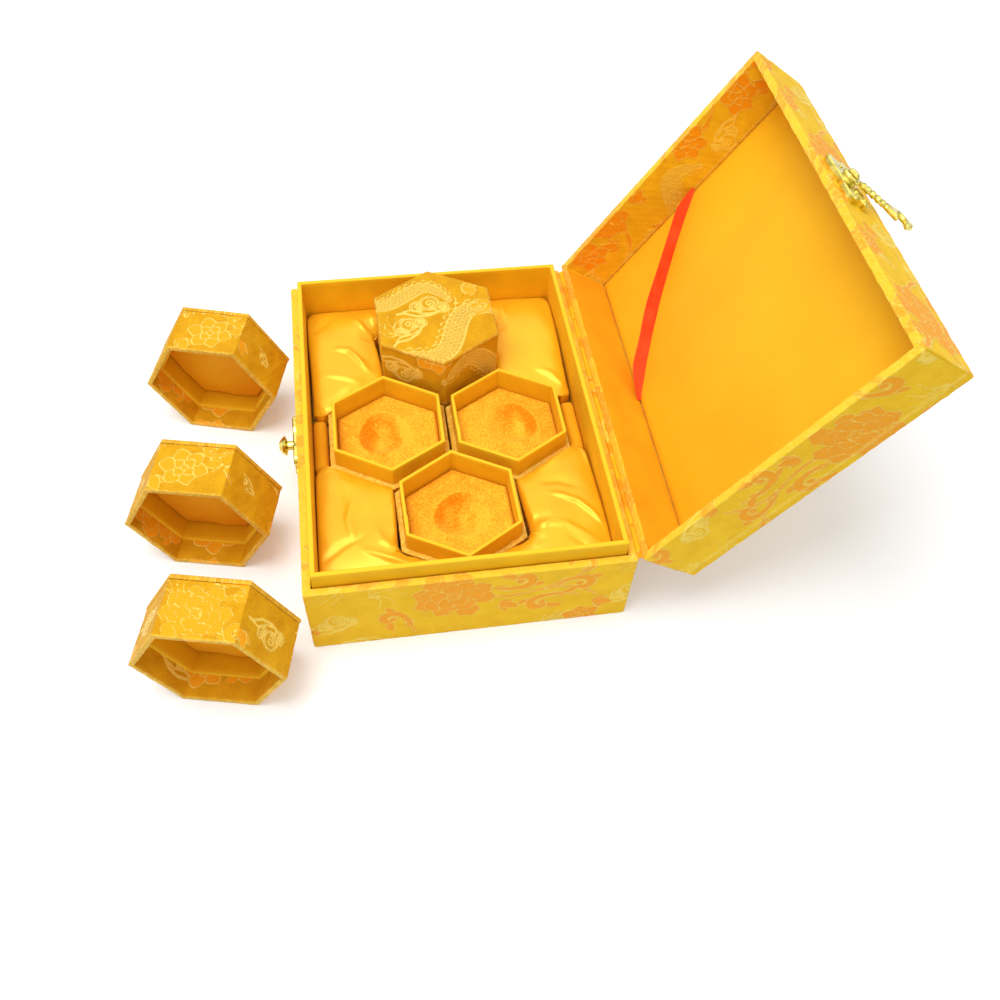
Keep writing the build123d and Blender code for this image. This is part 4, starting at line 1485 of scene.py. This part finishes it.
@dataclass
class HexBox:
    """One hexagonal box: brocade cup, papered liner and velvet pad."""

    finishes: Finishes
    side: Side
    turn: float
    shift: Pair
    dimple: Pair
    # The turn in degrees towards which the pad's painted shade darkens
    shade_turn: float
    laps: tuple[int, ...] = ()
    radius: float = 29.5
    corner: float = 0.5
    wall: float = 2.25
    bend: float = 0.35
    step: float = 0.6
    floor: float = 2.0
    under: float = 6.0
    pad_gap: float = 0.2
    pad_edge: float = 1.6
    liner: float = 1.4
    dimple_radius: float = 11.5
    dimple_depth: float = 5.2
    dimple_lip: Pair = (0.6, 3.2)
    dimple_waver: float = 0.05

    def place(self) -> Matrix:
        """Where the cup's own frame is, its underside at zero."""
        low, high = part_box("cup_neck_" + self.side.value)
        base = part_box("cup_shell_" + self.side.value)[0].z
        spot = Matrix.Translation(((low.x + high.x) / 2, (low.y + high.y) / 2, base))
        return spot @ Matrix.Rotation(radians(self.turn), 4, "Z")

    def seat(self, slot: str, *stands_for: str, fill: float | None = None) -> Seat:
        """A seat on the cup, for nodes named without the box's own name."""
        name = self.side.value
        return Seat("cup_" + name, slot, tuple(node + name for node in stands_for), fill)

    def build(self) -> None:
        """Make the cup's cloth, its liner and the velvet pad."""
        name = self.side.value
        self.cup(name)
        self.liner_ring(name)
        self.velvet(name)

    def cup(self, name: str) -> None:
        """The cup: cloth over its outside and rim, and a papered underside."""
        low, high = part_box("cup_shell_" + name)
        rim = (high.z - low.z) / MM
        step = grid_step(self.step)
        foot = (self.under, 0.0)
        corners = [foot, (0, 0), (0, rim), (self.wall, rim), (self.wall, self.floor), foot]
        section = profile(corners, self.bend, [3.0, step, step, 6.0, 3.0])
        outline = Outline(hexagon(self.radius), self.corner, step)
        wrap = Wrap("cup_cloth_" + name, outline, section, Run.ROUND, self.shift, mouth=rim, fray_and_glint=0.9)
        seat = self.seat("brocade", "cup_shell_")
        seat.settle(wrap.build(), self.finishes.shaded_copy, self.place(), 50)
        under = hex_sheet("cup_underside_" + name, self.radius - self.under + 1.0, 8.0)
        skirt(under, [(1.0, 0.6)])
        place = self.place() @ Matrix.Translation((0, 0, 0.7 * MM))
        self.seat("paper").settle(under, self.finishes.covering, place, None)

    def liner_ring(self, name: str) -> None:
        """The papered liner that stands up from the cup."""
        outline = Outline(hexagon(self.radius - self.wall / cos(HEX_ANGLE)), self.corner, grid_step(2.0))
        top = (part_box("cup_neck_" + name)[1].z - self.place().translation.z) / MM
        ring = PaperRing("cup_liner_" + name, outline, self.liner, self.floor, top, laps=self.laps)
        seat = self.seat("paper", "cup_neck_")
        seat.settle(ring.build(), self.finishes.covering, self.place(), 40)

    def velvet(self, name: str) -> None:
        """The pad: a pile surface pressed into a round dimple, its edge rolled down."""
        low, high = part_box("velvet_pad_" + name)
        radius = self.radius - (self.wall + self.liner + self.pad_gap) / cos(HEX_ANGLE)
        piece = hex_sheet("velvet_" + name, radius - self.pad_edge, grid_step(0.5))
        points = read_points(piece)
        x, y = points[:, 0] - self.dimple[0], points[:, 1] - self.dimple[1]
        away = np.hypot(x, y) * (1 + self.dimple_waver * np.sin(3 * np.arctan2(y, x) + self.turn))
        share = np.clip(away / self.dimple_radius, 0, 1)
        points[:, 2] -= self.dimple_depth * (1 - share**2) ** 1.25
        lip, width = self.dimple_lip
        points[:, 2] += lip * np.exp(-(((away - self.dimple_radius) / width) ** 2))
        coarse = np.array([noise.noise(Vector(p) * 0.17) for p in points])
        fine = [0.18 * noise.noise(Vector(p) * 0.6) + 0.12 * noise.noise(Vector(p) * 1.8) for p in points]
        points[:, 2] += fine
        write_points(piece, points)
        # Painted shade on the pile: darker towards one turn across the pad and on that side of the dimple's
        # slope, and darker in the dimple's hollow in brushed streaks, over a coarse brushed tone
        facing = (x * cos(radians(self.shade_turn)) + y * sin(radians(self.shade_turn))) / self.dimple_radius
        slope = 5.2 * share**3 * np.clip(1 - share**2, 0, 1) ** 0.5 * (away < self.dimple_radius)
        brush_tone_and_shade = np.array([noise.noise(Vector((p[0] * 0.2, p[1] * 0.09, self.turn))) for p in points])
        nap_and_shade = 0.36 + 0.42 * facing * slope + 0.25 * coarse + 0.08 * facing
        nap_and_shade += (0.16 + 0.9 * brush_tone_and_shade) * (1 - share) ** 0.5
        grow = sqrt(radius / (radius - self.pad_edge))
        depth = (high.z - low.z) / MM - self.pad_edge - 1.0
        skirt(piece, [(grow, 0.45), (grow, 1.15), (1.0, depth)])
        shade = np.full(len(piece.data.vertices), 0.5)
        shade[: len(nap_and_shade)] = np.clip(nap_and_shade, 0, 1)
        write_values(piece, "nap_and_shade", shade)
        place = self.place() @ Matrix.Translation((0, 0, high.z - self.place().translation.z))
        self.seat("velvet", "velvet_pad_", fill=0.8).settle(piece, self.finishes.velvet, place, 70)


@dataclass
class HexLid:
    """The lid of a hexagonal box: brocade wall, padded top plate, papered ring and satin pad."""

    finishes: Finishes
    name: str
    place: Matrix
    shift: Pair
    wall_figures: Sequence[Figure] = FLORAL
    top_figures: Sequence[Figure] = FLORAL
    top_shift: Pair = (30.0, 20.0)
    radius: float = 29.5
    corner: float = 0.5
    wall: float = 2.0
    bend: float = 0.45
    height: float = 26.2
    plate: float = 2.2
    plate_edge: float = 0.9
    crown: float = 0.35
    groove: float = 0.5
    groove_depth: float = 1.0
    overhang: float = 0.3
    roof: float = 1.6
    ring_board: float = 1.3
    setback: float = 10.0
    pad: float = 5.0
    pad_edge: float = 0.8
    pad_gap: float = 0.2
    step: float = 0.6

    @property
    def wall_height(self) -> float:
        """From the mouth to the step under the plate."""
        return self.height - self.plate - self.groove

    def settle(
        self, piece: Object, slot: str, node: str, finish: Material, up: float,
        angle: float, fill: float | None = None,
    ) -> None:
        """Finish a piece of the lid, so far up from the mouth, in place of one of its nodes."""
        seat = Seat("cap_" + self.name, slot, (node + self.name,), fill)
        seat.settle(piece, finish, self.place @ Matrix.Translation((0, 0, up * MM)), angle)

    def build(self) -> None:
        """Make the wall, the plate, the ring and the pad."""
        self.walls()
        self.top()
        self.ring()
        self.inner_pad()

    def walls(self) -> None:
        """The wall's cloth, out, round the mouth and in again."""
        top = self.wall_height
        step = grid_step(self.step)
        fold = (7.0, top)
        corners = [fold, (0, top), (0, 0), (self.wall, 0), (self.wall, top - self.roof), fold]
        section = profile(corners, self.bend, [4.0, step, step, step, 4.0])
        outline = Outline(hexagon(self.radius), self.corner, step)
        name = "cap_cloth_" + self.name
        wrap = Wrap(name, outline, section, Run.ROUND, self.shift, self.wall_figures, 0.1, fray_and_glint=0.7)
        self.settle(wrap.build(), "brocade", "cap_shell_", self.finishes.shaded_copy, 0.0, 50)

    def top(self) -> None:
        """The padded plate: a slight crown, a soft edge, and a narrower step under it."""
        radius = self.radius + self.overhang
        flat = radius - self.plate_edge
        piece = hex_sheet("cap_plate_" + self.name, flat, grid_step(self.step))
        points = read_points(piece)
        reach = hex_reach(points) / (flat * cos(HEX_ANGLE))
        points[:, 2] = self.crown * (1 - reach**4) + 0.05 * ripple(points[:, 0], points[:, 1], 6.0)
        points[:, 2] *= np.clip((1 - reach) * 20, 0, 1)
        write_points(piece, points)
        grow = (radius / flat) ** 0.5
        taper = 0.99
        back = (self.radius - self.groove_depth) / radius / taper
        edge = [(grow, 0.3), (grow, 0.5), (1.0, self.plate - 1.3), (taper, 0.5)]
        skirt(piece, [*edge, (back, 0.0), (1.0, self.groove)])
        points = read_points(piece)
        rim = radius * cos(HEX_ANGLE) - hex_reach(points)
        # Fray and a painted glint along the plate's edge
        fray_and_glint = 0.35 * np.clip(1.2 - rim / self.plate_edge, 0, 1)
        lay_cloth(piece, points[:, :2] + np.array(self.top_shift), self.top_figures, fray_and_glint)
        up = self.height - self.crown
        self.settle(piece, "brocade", "cap_top_", self.finishes.shaded_copy, up, 50)

    def ring(self) -> None:
        """The papered ring inside, set back from the mouth."""
        outline = Outline(hexagon(self.radius - self.wall / cos(HEX_ANGLE)), self.corner, grid_step(2.0))
        top = self.wall_height - self.roof
        name = "cap_liner_" + self.name
        ring = PaperRing(name, outline, self.ring_board, self.setback, top, self.bend, mouth=self.setback)
        self.settle(ring.build(), "paper", "cap_ring_", self.finishes.covering, 0.0, 40)

    def inner_pad(self) -> None:
        """The satin pad under the roof, gathered towards its middle."""
        radius = self.radius - (self.wall + self.ring_board + self.pad_gap) / cos(HEX_ANGLE)
        flat = radius - self.pad_edge
        piece = hex_sheet("cap_pad_satin_" + self.name, flat, grid_step(0.8))
        points = read_points(piece)
        away = np.hypot(points[:, 0], points[:, 1]) / radius
        angle = np.arctan2(points[:, 1], points[:, 0])
        gather = 0.25 * np.sin(9 * angle + 4 * away) + 0.3 * np.sin(5 * angle + 1.0 + 2 * away)
        points[:, 2] = -1.6 * away**3 + gather * away
        write_points(piece, points)
        skirt(piece, [(radius / flat, 0.8), (1.0, 2.0)])
        piece.data.transform(Matrix.Rotation(pi, 4, "X"))
        up = self.wall_height - self.roof - self.pad + 0.4
        self.settle(piece, "satin", "cap_pad_", self.finishes.strip, up, 70, 0.6)


@dataclass
class Lid:
    """The outer lid: its cloth, padded lining, ribbon and clasp."""

    finishes: Finishes
    hinge: Vector
    angle: float
    length: float = 172.0
    width: float = 129.0
    height: float = 28.0
    offset: float = 1.0
    board: float = 2.4
    cloth: float = 0.4
    lining: float = 1.4
    corner: float = 0.8
    bend: float = 0.6
    step: float = 0.68
    roll: float = 0.5
    tuck: Pair = (2.6, 0.45)
    shift: Pair = (4.0, 33.0)
    panel_gap: float = 0.3
    ribbon_width: float = 7.2
    ribbon_gap: float = 1.0
    ribbon_reach: Pair = (64.6, 78.0)
    ribbon_length: float = 101.0
    ribbon_bow: float = 4.0
    ribbon_pinch: float = 0.16
    ribbon_thickness: float = 0.25
    panel_thickness: float = 0.4
    eye: float = 4.5
    beaded: float = 18.0
    casting: float = 0.38
    casting_voxel: float = 0.2
    bead_pitch: float = 2.6

    @property
    def place(self) -> Matrix:
        """The lid's own frame: hinge line on Y, closed with its rim at zero."""
        return Matrix.Translation(self.hinge) @ Matrix.Rotation(self.angle, 4, "Y")

    @property
    def wall(self) -> float:
        """A wall's board and the cloth on both its faces."""
        return self.board + 2 * self.cloth

    @property
    def face(self) -> float:
        """How high the lining's visible face lies in the closed lid's frame."""
        return self.height - self.cloth - self.board - self.lining

    def build(self) -> None:
        """Make every piece of the lid."""
        self.sides()
        self.top()
        self.panel()
        self.ribbon()
        dress(["lid_board"], self.finishes.board)
        dress(["clasp_plate", "clasp_nails", "clasp_rivet"], self.finishes.plating)
        self.hook()

    def hook(self) -> None:
        """The cast hook: its bar and beads swollen and rounded as a casting is, its eye as it was."""
        piece = cad_copy("clasp_hook", "cast_hook")
        apply_modifier(piece, "REMESH", mode="VOXEL", voxel_size=self.casting_voxel)
        points = read_points(piece)
        low, high = room("clasp_rivet")
        away = np.linalg.norm(points - (low + high) / 2, axis=1)
        share = np.clip((away - self.eye) / 1.5, 0, 1)
        beads = 1 + 0.4 * np.sin(2 * pi * away / self.bead_pitch) * (away < self.beaded)
        write_points(piece, points + normals_of(piece) * (self.casting * share * beads)[:, None])
        apply_modifier(piece, "SMOOTH", factor=0.5, iterations=2)
        Seat("clasp_hook", "brass", ("clasp_hook",)).settle(piece, self.finishes.plating)

    def sides(self) -> None:
        """Cloth down the walls, round the rim and up inside."""
        step = grid_step(self.step)
        tuck = (self.tuck[0], self.height - self.tuck[1])
        corners = [tuck, (0, self.height), (0, 0), (self.wall, 0), (self.wall, self.face), tuck]
        section = profile(corners, self.bend / 2, [3.0, step, step, step, 3.0])
        far, half = -self.offset - self.width, self.length / 2
        outline = Outline(rectangle(far, -self.offset, -half, half), self.corner, step)
        wrap = Wrap(
            "lid_side_cloth", outline, section, Run.FOLDED, self.shift, unevenness=0.14, seam=self.face
        )
        Seat("lid", "brocade", ("lid_brocade",)).settle(wrap.build(), self.finishes.brocade, self.place, 50)

    def top(self) -> None:
        """Cloth over the lid's top, with its edge rolled into the walls."""
        step = grid_step(self.step)
        far, near, half = -self.offset - self.width, -self.offset, self.length / 2
        x = np.linspace(far + self.roll, near - self.roll, int(self.width / step))
        y = np.linspace(self.roll - half, half - self.roll, int(self.length / step))
        plan = np.stack(np.meshgrid(x, y), axis=-1)
        middle = (far + near) / 2
        inward = (self.width / 2 - np.abs(plan[..., 0] - middle), half - np.abs(plan[..., 1]))
        fade = np.clip(np.minimum(*inward) / 3 - 0.3, 0, 1)
        height = self.height + 0.05 * ripple(plan[..., 0], plan[..., 1], 9.0) * fade
        points = np.concatenate([plan, height[..., None]], axis=-1)
        piece = cloth_grid("lid_top_cloth", points, plan + np.array(self.shift), FLORAL)
        piece.data.transform(Matrix.Translation((-middle, 0, 0)))
        skirt(piece, [((self.width - 0.2) / (self.width - 2 * self.roll), 0.4)])
        piece.data.transform(Matrix.Translation((middle, 0, 0)))
        Seat("lid", "brocade", ("lid_brocade",)).settle(piece, self.finishes.brocade, self.place, 50)

    def panel(self) -> None:
        """The padded lining: almost flat, with soft folds near its ends and a drawn-in edge."""
        wall = self.wall + self.panel_gap
        far, near, half = -self.offset - self.width + wall, -self.offset - wall, self.length / 2 - wall
        piece = add_grid("lid_panel", 90, 120)
        points = read_points(piece)
        x, y = points[:, 0] * (near - far), points[:, 1] * 2 * half
        rim = np.minimum((near - far) / 2 - np.abs(x), half - np.abs(y))
        drop = self.lining * np.clip(rim / 2.0, 0, 1) ** 0.5
        swell = 0.25 * ripple(x, y, 90.0) + 0.12 * ripple(x * 0.6 + y, y - x, 34.0)
        points[:, 0], points[:, 1] = x + (near + far) / 2, y
        points[:, 2] = self.height - self.cloth - self.board - drop - np.clip(rim / 12, 0, 1) * (swell + 0.2)
        write_points(piece, points)
        apply_modifier(piece, "SOLIDIFY", thickness=self.panel_thickness, offset=-1.0)
        weld(piece)
        Seat("lid", "satin", ("lid_top_lining",), 0.3).settle(piece, self.finishes.lining, self.place)

    def ribbon(self) -> None:
        """The leaflet ribbon: pinched flat at both ends and standing on edge between them."""
        wall = self.wall + self.ribbon_gap
        near, half = -self.offset - wall, self.length / 2 - wall
        reach_x, reach_y = self.ribbon_reach
        start, end = np.array([near, half - reach_y]), np.array([near - reach_x, half])
        share = np.linspace(0, 1, 60)
        on = unit(end - start)
        out = np.array([on[1], -on[0]])
        line = start + share[:, None] * (end - start) + (self.ribbon_bow * np.sin(pi * share))[:, None] * out
        rise = np.clip(np.minimum(share, 1 - share) / self.ribbon_pinch, 0, 1)
        width = self.ribbon_width * (0.25 + 0.75 * np.sin(rise * pi / 2))
        across = np.linspace(0, 1, 9)
        points = np.empty((len(share), len(across), 3))
        for j, part in enumerate(across):
            lean = (0.9 * np.sin(5.2 * share + 0.5) + 0.35 * np.sin(17 * share)) * part * rise
            points[:, j, :2] = line + (lean + 0.25 * np.sin(pi * part))[:, None] * out
            points[:, j, 2] = self.face - 0.35 - part * width + 0.1 * np.sin(23 * share + 2 * part)
        flat = np.stack(np.meshgrid(across * self.ribbon_width, share * self.ribbon_length), axis=-1)
        piece = cloth_grid("leaflet_band", points, flat)
        apply_modifier(piece, "SOLIDIFY", thickness=self.ribbon_thickness, offset=0.0)
        apply_modifier(piece, "SUBSURF", levels=1, render_levels=1)
        Seat("lid", "ribbon", ("leaflet_ribbon",)).settle(piece, self.finishes.ribbon, self.place)


@dataclass
class Hinge:
    """The cloth hinge: brocade outside, and a plain strip inside that runs on to the lid's wall."""

    finishes: Finishes
    lid: Lid
    end_gap: float = 1.2
    side_gap: float = 0.25
    strip: float = 9.0
    strip_thickness: float = 0.2
    cloth_thickness: float = 0.3
    row: float = 0.8
    columns: int = 150
    unevenness: Pair = (0.12, 11.0)
    foot: float = 0.6

    def build(self) -> None:
        """Make both strips; the inner one rides on the lid."""
        self.inside()
        self.outside()

    def sweep(self, name: str, path: np.ndarray, half: float, thickness: float, finish: Material) -> Object:
        """Sweep a path in x and z along the hinge line.

        Args:
            name: The piece's name.
            path: Places in metres, from the base to the lid.
            half: Half the strip's length, in metres.
            thickness: The cloth's thickness, in millimetres.
            finish: The material that covers it.

        Returns:
            The strip, as a closed sheet in metres.
        """
        run = walked(path)
        even = np.linspace(0, run[-1], max(int(run[-1] / (self.row * MM)), 12))
        x, z = np.interp(even, run, path[:, 0]), np.interp(even, run, path[:, 1])
        y = np.linspace(-half, half, self.columns)
        height, period = self.unevenness
        z = z[:, None] + height * MM * ripple(y[None] / MM, even[:, None] / MM, period)
        points = np.stack([*np.broadcast_arrays(x[:, None], y[None], z)], axis=-1)
        cloth = np.stack([*np.broadcast_arrays(y[None] / MM, even[:, None] / MM)], axis=-1)
        piece = cloth_grid(name, points, cloth, FLORAL)
        apply_modifier(piece, "SOLIDIFY", thickness=thickness * MM, offset=0.0)
        smooth(piece, 60)
        piece.data.materials.append(finish)
        return piece

    def lid_point(self, x: float, z: float) -> Pair:
        """A place in the lid's section, given in its own millimetres, in metres."""
        spot = self.lid.place @ (Vector((x, 0, z)) * MM)
        return spot.x, spot.z

    def inside(self) -> None:
        """Plain strip up the hinge wall's inner face, its edge a little inside the rim."""
        inset = self.lid.offset + self.lid.wall + 0.12
        rise = self.lid.face - self.foot
        shares = (0.0, 0.3, 0.7, 1.0)
        path = np.array([self.lid_point(-inset, share * rise + self.foot) for share in shares])
        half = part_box("base_brocade")[1].y - self.lid.wall * MM - 0.5 * MM
        piece = self.sweep("hinge_strip", path, half, self.strip_thickness, self.finishes.strip)
        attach(piece, "lid")
        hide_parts("lid_hinge_lining")
        LOG.info("%s rides on the lid", piece.name)

    def outside(self) -> None:
        """Brocade strip glued to the base's wall and the lid's, loose between them."""
        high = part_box("base_brocade")[1]
        side = high.x + self.side_gap * MM
        inset = self.side_gap - self.lid.offset
        path = np.array([
            (side, high.z - self.strip * MM), (side, high.z - 0.5 * MM), self.lid_point(0.35, 0.0),
            self.lid_point(inset, 1.0), self.lid_point(inset, self.strip),
        ])
        half = high.y - self.end_gap * MM
        piece = self.sweep("hinge_cloth", path, half, self.cloth_thickness, self.finishes.brocade)
        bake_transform(piece)
        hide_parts("cloth_hinge")
        LOG.info("%s bends from the base to the lid", piece.name)


# The picture


@dataclass
class Studio:
    """A plain pale table, soft light and the photograph's viewpoint."""

    position: tuple[float, float, float] = (-0.03180, -0.27748, 0.35598)
    turning: tuple[float, float, float] = (0.6293, -0.0859, -0.1325)
    lens: float = 35.07
    sensor: float = 36.0
    floor_size: float = 6.0
    table: str = "EDF0F4"
    glow_colour: str = "FFFEFC"
    glow: float = 0.205
    far_glow: float = 0.8
    glow_reach: Pair = (0.4, 1.0)
    world_light: float = 0.67
    mirrored_rise: Pair = (0.05, 0.6)
    mirrored_light: Pair = (0.42, 1.35)
    key_power: float = 6.3
    key_size: float = 0.6
    key_place: tuple[float, float, float] = (-0.22, -0.08, 0.95)

    def build(self) -> None:
        """Set up the camera, floor, light and view."""
        scene = bpy.context.scene
        scene.view_settings.view_transform = "Standard"
        self.camera(scene)
        self.floor()
        self.world(scene)
        self.key(scene)

    def camera(self, scene: Scene) -> None:
        """The camera where the photograph was taken from."""
        data = bpy.data.cameras.new("camera")
        data.lens = self.lens
        data.sensor_width = self.sensor
        data.clip_start = 0.01
        camera = bpy.data.objects.new("camera", data)
        scene.collection.objects.link(camera)
        turn = Vector(self.turning)
        camera.matrix_world = Matrix.Translation(self.position) @ Matrix.Rotation(turn.length, 4, turn)
        scene.camera = camera

    def floor(self) -> None:
        """A large pale table top that keeps the box's soft shadow.

        Its glow whitens it for the camera and for reflections only, and more so far away.
        """
        deselect()
        bpy.ops.mesh.primitive_plane_add(size=self.floor_size)
        floor = bpy.context.object
        floor.name = "table_top"
        made, graph = new_material("pale_table")
        seen = graph.add("LightPath").outputs
        place = graph.add("TexCoord").outputs["Object"]
        away = graph.add("VectorMath", {0: place}, operation="LENGTH").outputs["Value"]
        far_glow = graph.maths("MULTIPLY_ADD", seen["Is Camera Ray"], self.far_glow, self.glow)
        strength = graph.ramp(away, *self.glow_reach, self.glow, far_glow)
        matt = graph.add("BsdfDiffuse", {"Color": linear(self.table), "Roughness": 0.0}).outputs[0]
        glow = graph.add("Emission", {"Color": linear(self.glow_colour), "Strength": strength})
        lifted = graph.add("AddShader", {0: matt, 1: glow.outputs[0]}).outputs[0]
        looked_at = graph.maths("MAXIMUM", seen["Is Camera Ray"], seen["Is Glossy Ray"])
        graph.add("OutputMaterial", {"Surface": graph.choose(looked_at, matt, lifted)})
        floor.data.materials.append(made)

    def world(self, scene: Scene) -> None:
        """Even light from all round, white to the camera, with darker walls for metal to show."""
        world = bpy.data.worlds.new("studio")
        scene.world = world
        world.use_nodes = True
        graph = Graph(world.node_tree)
        seen = graph.add("LightPath").outputs
        place = graph.add("TexCoord").outputs["Generated"]
        height = graph.add("SeparateXYZ", {0: place}).outputs["Z"]
        mirrored = graph.ramp(height, *self.mirrored_rise, *self.mirrored_light)
        even, metal, white = (
            graph.add("Background", {"Color": linear("FFFFFF"), "Strength": strength}).outputs[0]
            for strength in (self.world_light, mirrored, 1.0)
        )
        glossy = graph.choose(seen["Is Glossy Ray"], even, metal)
        graph.add("OutputWorld", {"Surface": graph.choose(seen["Is Camera Ray"], glossy, white)})

    def key(self, scene: Scene) -> None:
        """One large soft light overhead, a little behind the box."""
        data = bpy.data.lights.new("key", "AREA")
        data.energy = self.key_power
        data.size = self.key_size
        lamp = bpy.data.objects.new("key", data)
        scene.collection.objects.link(lamp)
        lamp.location = self.key_place
        lamp.rotation_euler = (-Vector(self.key_place)).to_track_quat("-Z", "Y").to_euler()


def lying(name: str, turn: float, wall_height: float) -> Matrix:
    """The frame of a lid that lies on one flat side, its mouth at zero and towards -Y.

    Args:
        name: The lid's name in its nodes.
        turn: Its turn about the vertical, in degrees.
        wall_height: The height of its wall, in millimetres.

    Returns:
        Its frame, in metres.
    """
    low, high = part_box("cap_shell_" + name)
    axis = Vector((-sin(radians(turn)), cos(radians(turn)), 0))
    up = Vector((0, 0, 1))
    frame = Matrix((up, axis.cross(up), axis)).transposed().to_4x4()
    frame.translation = (low + high) / 2 - axis * wall_height / 2 * MM
    return frame


def main() -> None:
    """Build the studio and the box."""
    logging.basicConfig(level=logging.INFO, format="%(message)s")
    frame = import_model()
    finishes = Finishes()
    Studio().build()
    Base(finishes).build()

    boxes = (
        HexBox(finishes, Side.LEFT, -0.5, (5, 30), (-1.5, 1.0), 165),
        HexBox(finishes, Side.RIGHT, 0.5, (60, 55), (2.0, 1.5), 20, (40,)),
        HexBox(finishes, Side.BACK, 1.5, (20, 70), (0, 0), 90),
        HexBox(finishes, Side.FRONT, 1.0, (90, 8), (1.0, -0.5), 130, (40,)),
    )
    for box in boxes:
        box.build()
    wells = [
        (*(box.place().translation.xy / MM), radians(box.turn), box.radius * cos(HEX_ANGLE)) for box in boxes
    ]
    Insert(finishes).build(wells)

    closed = boxes[2].place()
    closed.translation.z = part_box("cap_shell_back")[0].z
    HexLid(finishes, "back", closed, (40, 60), FLORAL, CLOUDED, (0.0, 0.0)).build()
    loose = (
        ("loose_back", -15.0, (0, 0), FLOWERED),
        ("loose_middle", -12.7, (4, 1), FLOWERED),
        ("loose_front", -13.0, (0, 0), OUTLINED),
    )
    wall_height = HexLid.height - HexLid.plate - HexLid.groove
    for name, turn, shift, figures in loose:
        HexLid(finishes, name, lying(name, turn, wall_height), shift, figures).build()

    joint = next(j for j in frame["joints"] if j["name"] == "lid_hinge")
    lid = Lid(finishes, Vector(joint["pos_m"]), -radians(joint["range_deg"][0]))
    lid.build()
    Hinge(finishes, lid).build()


if __name__ == "__main__":
    main()
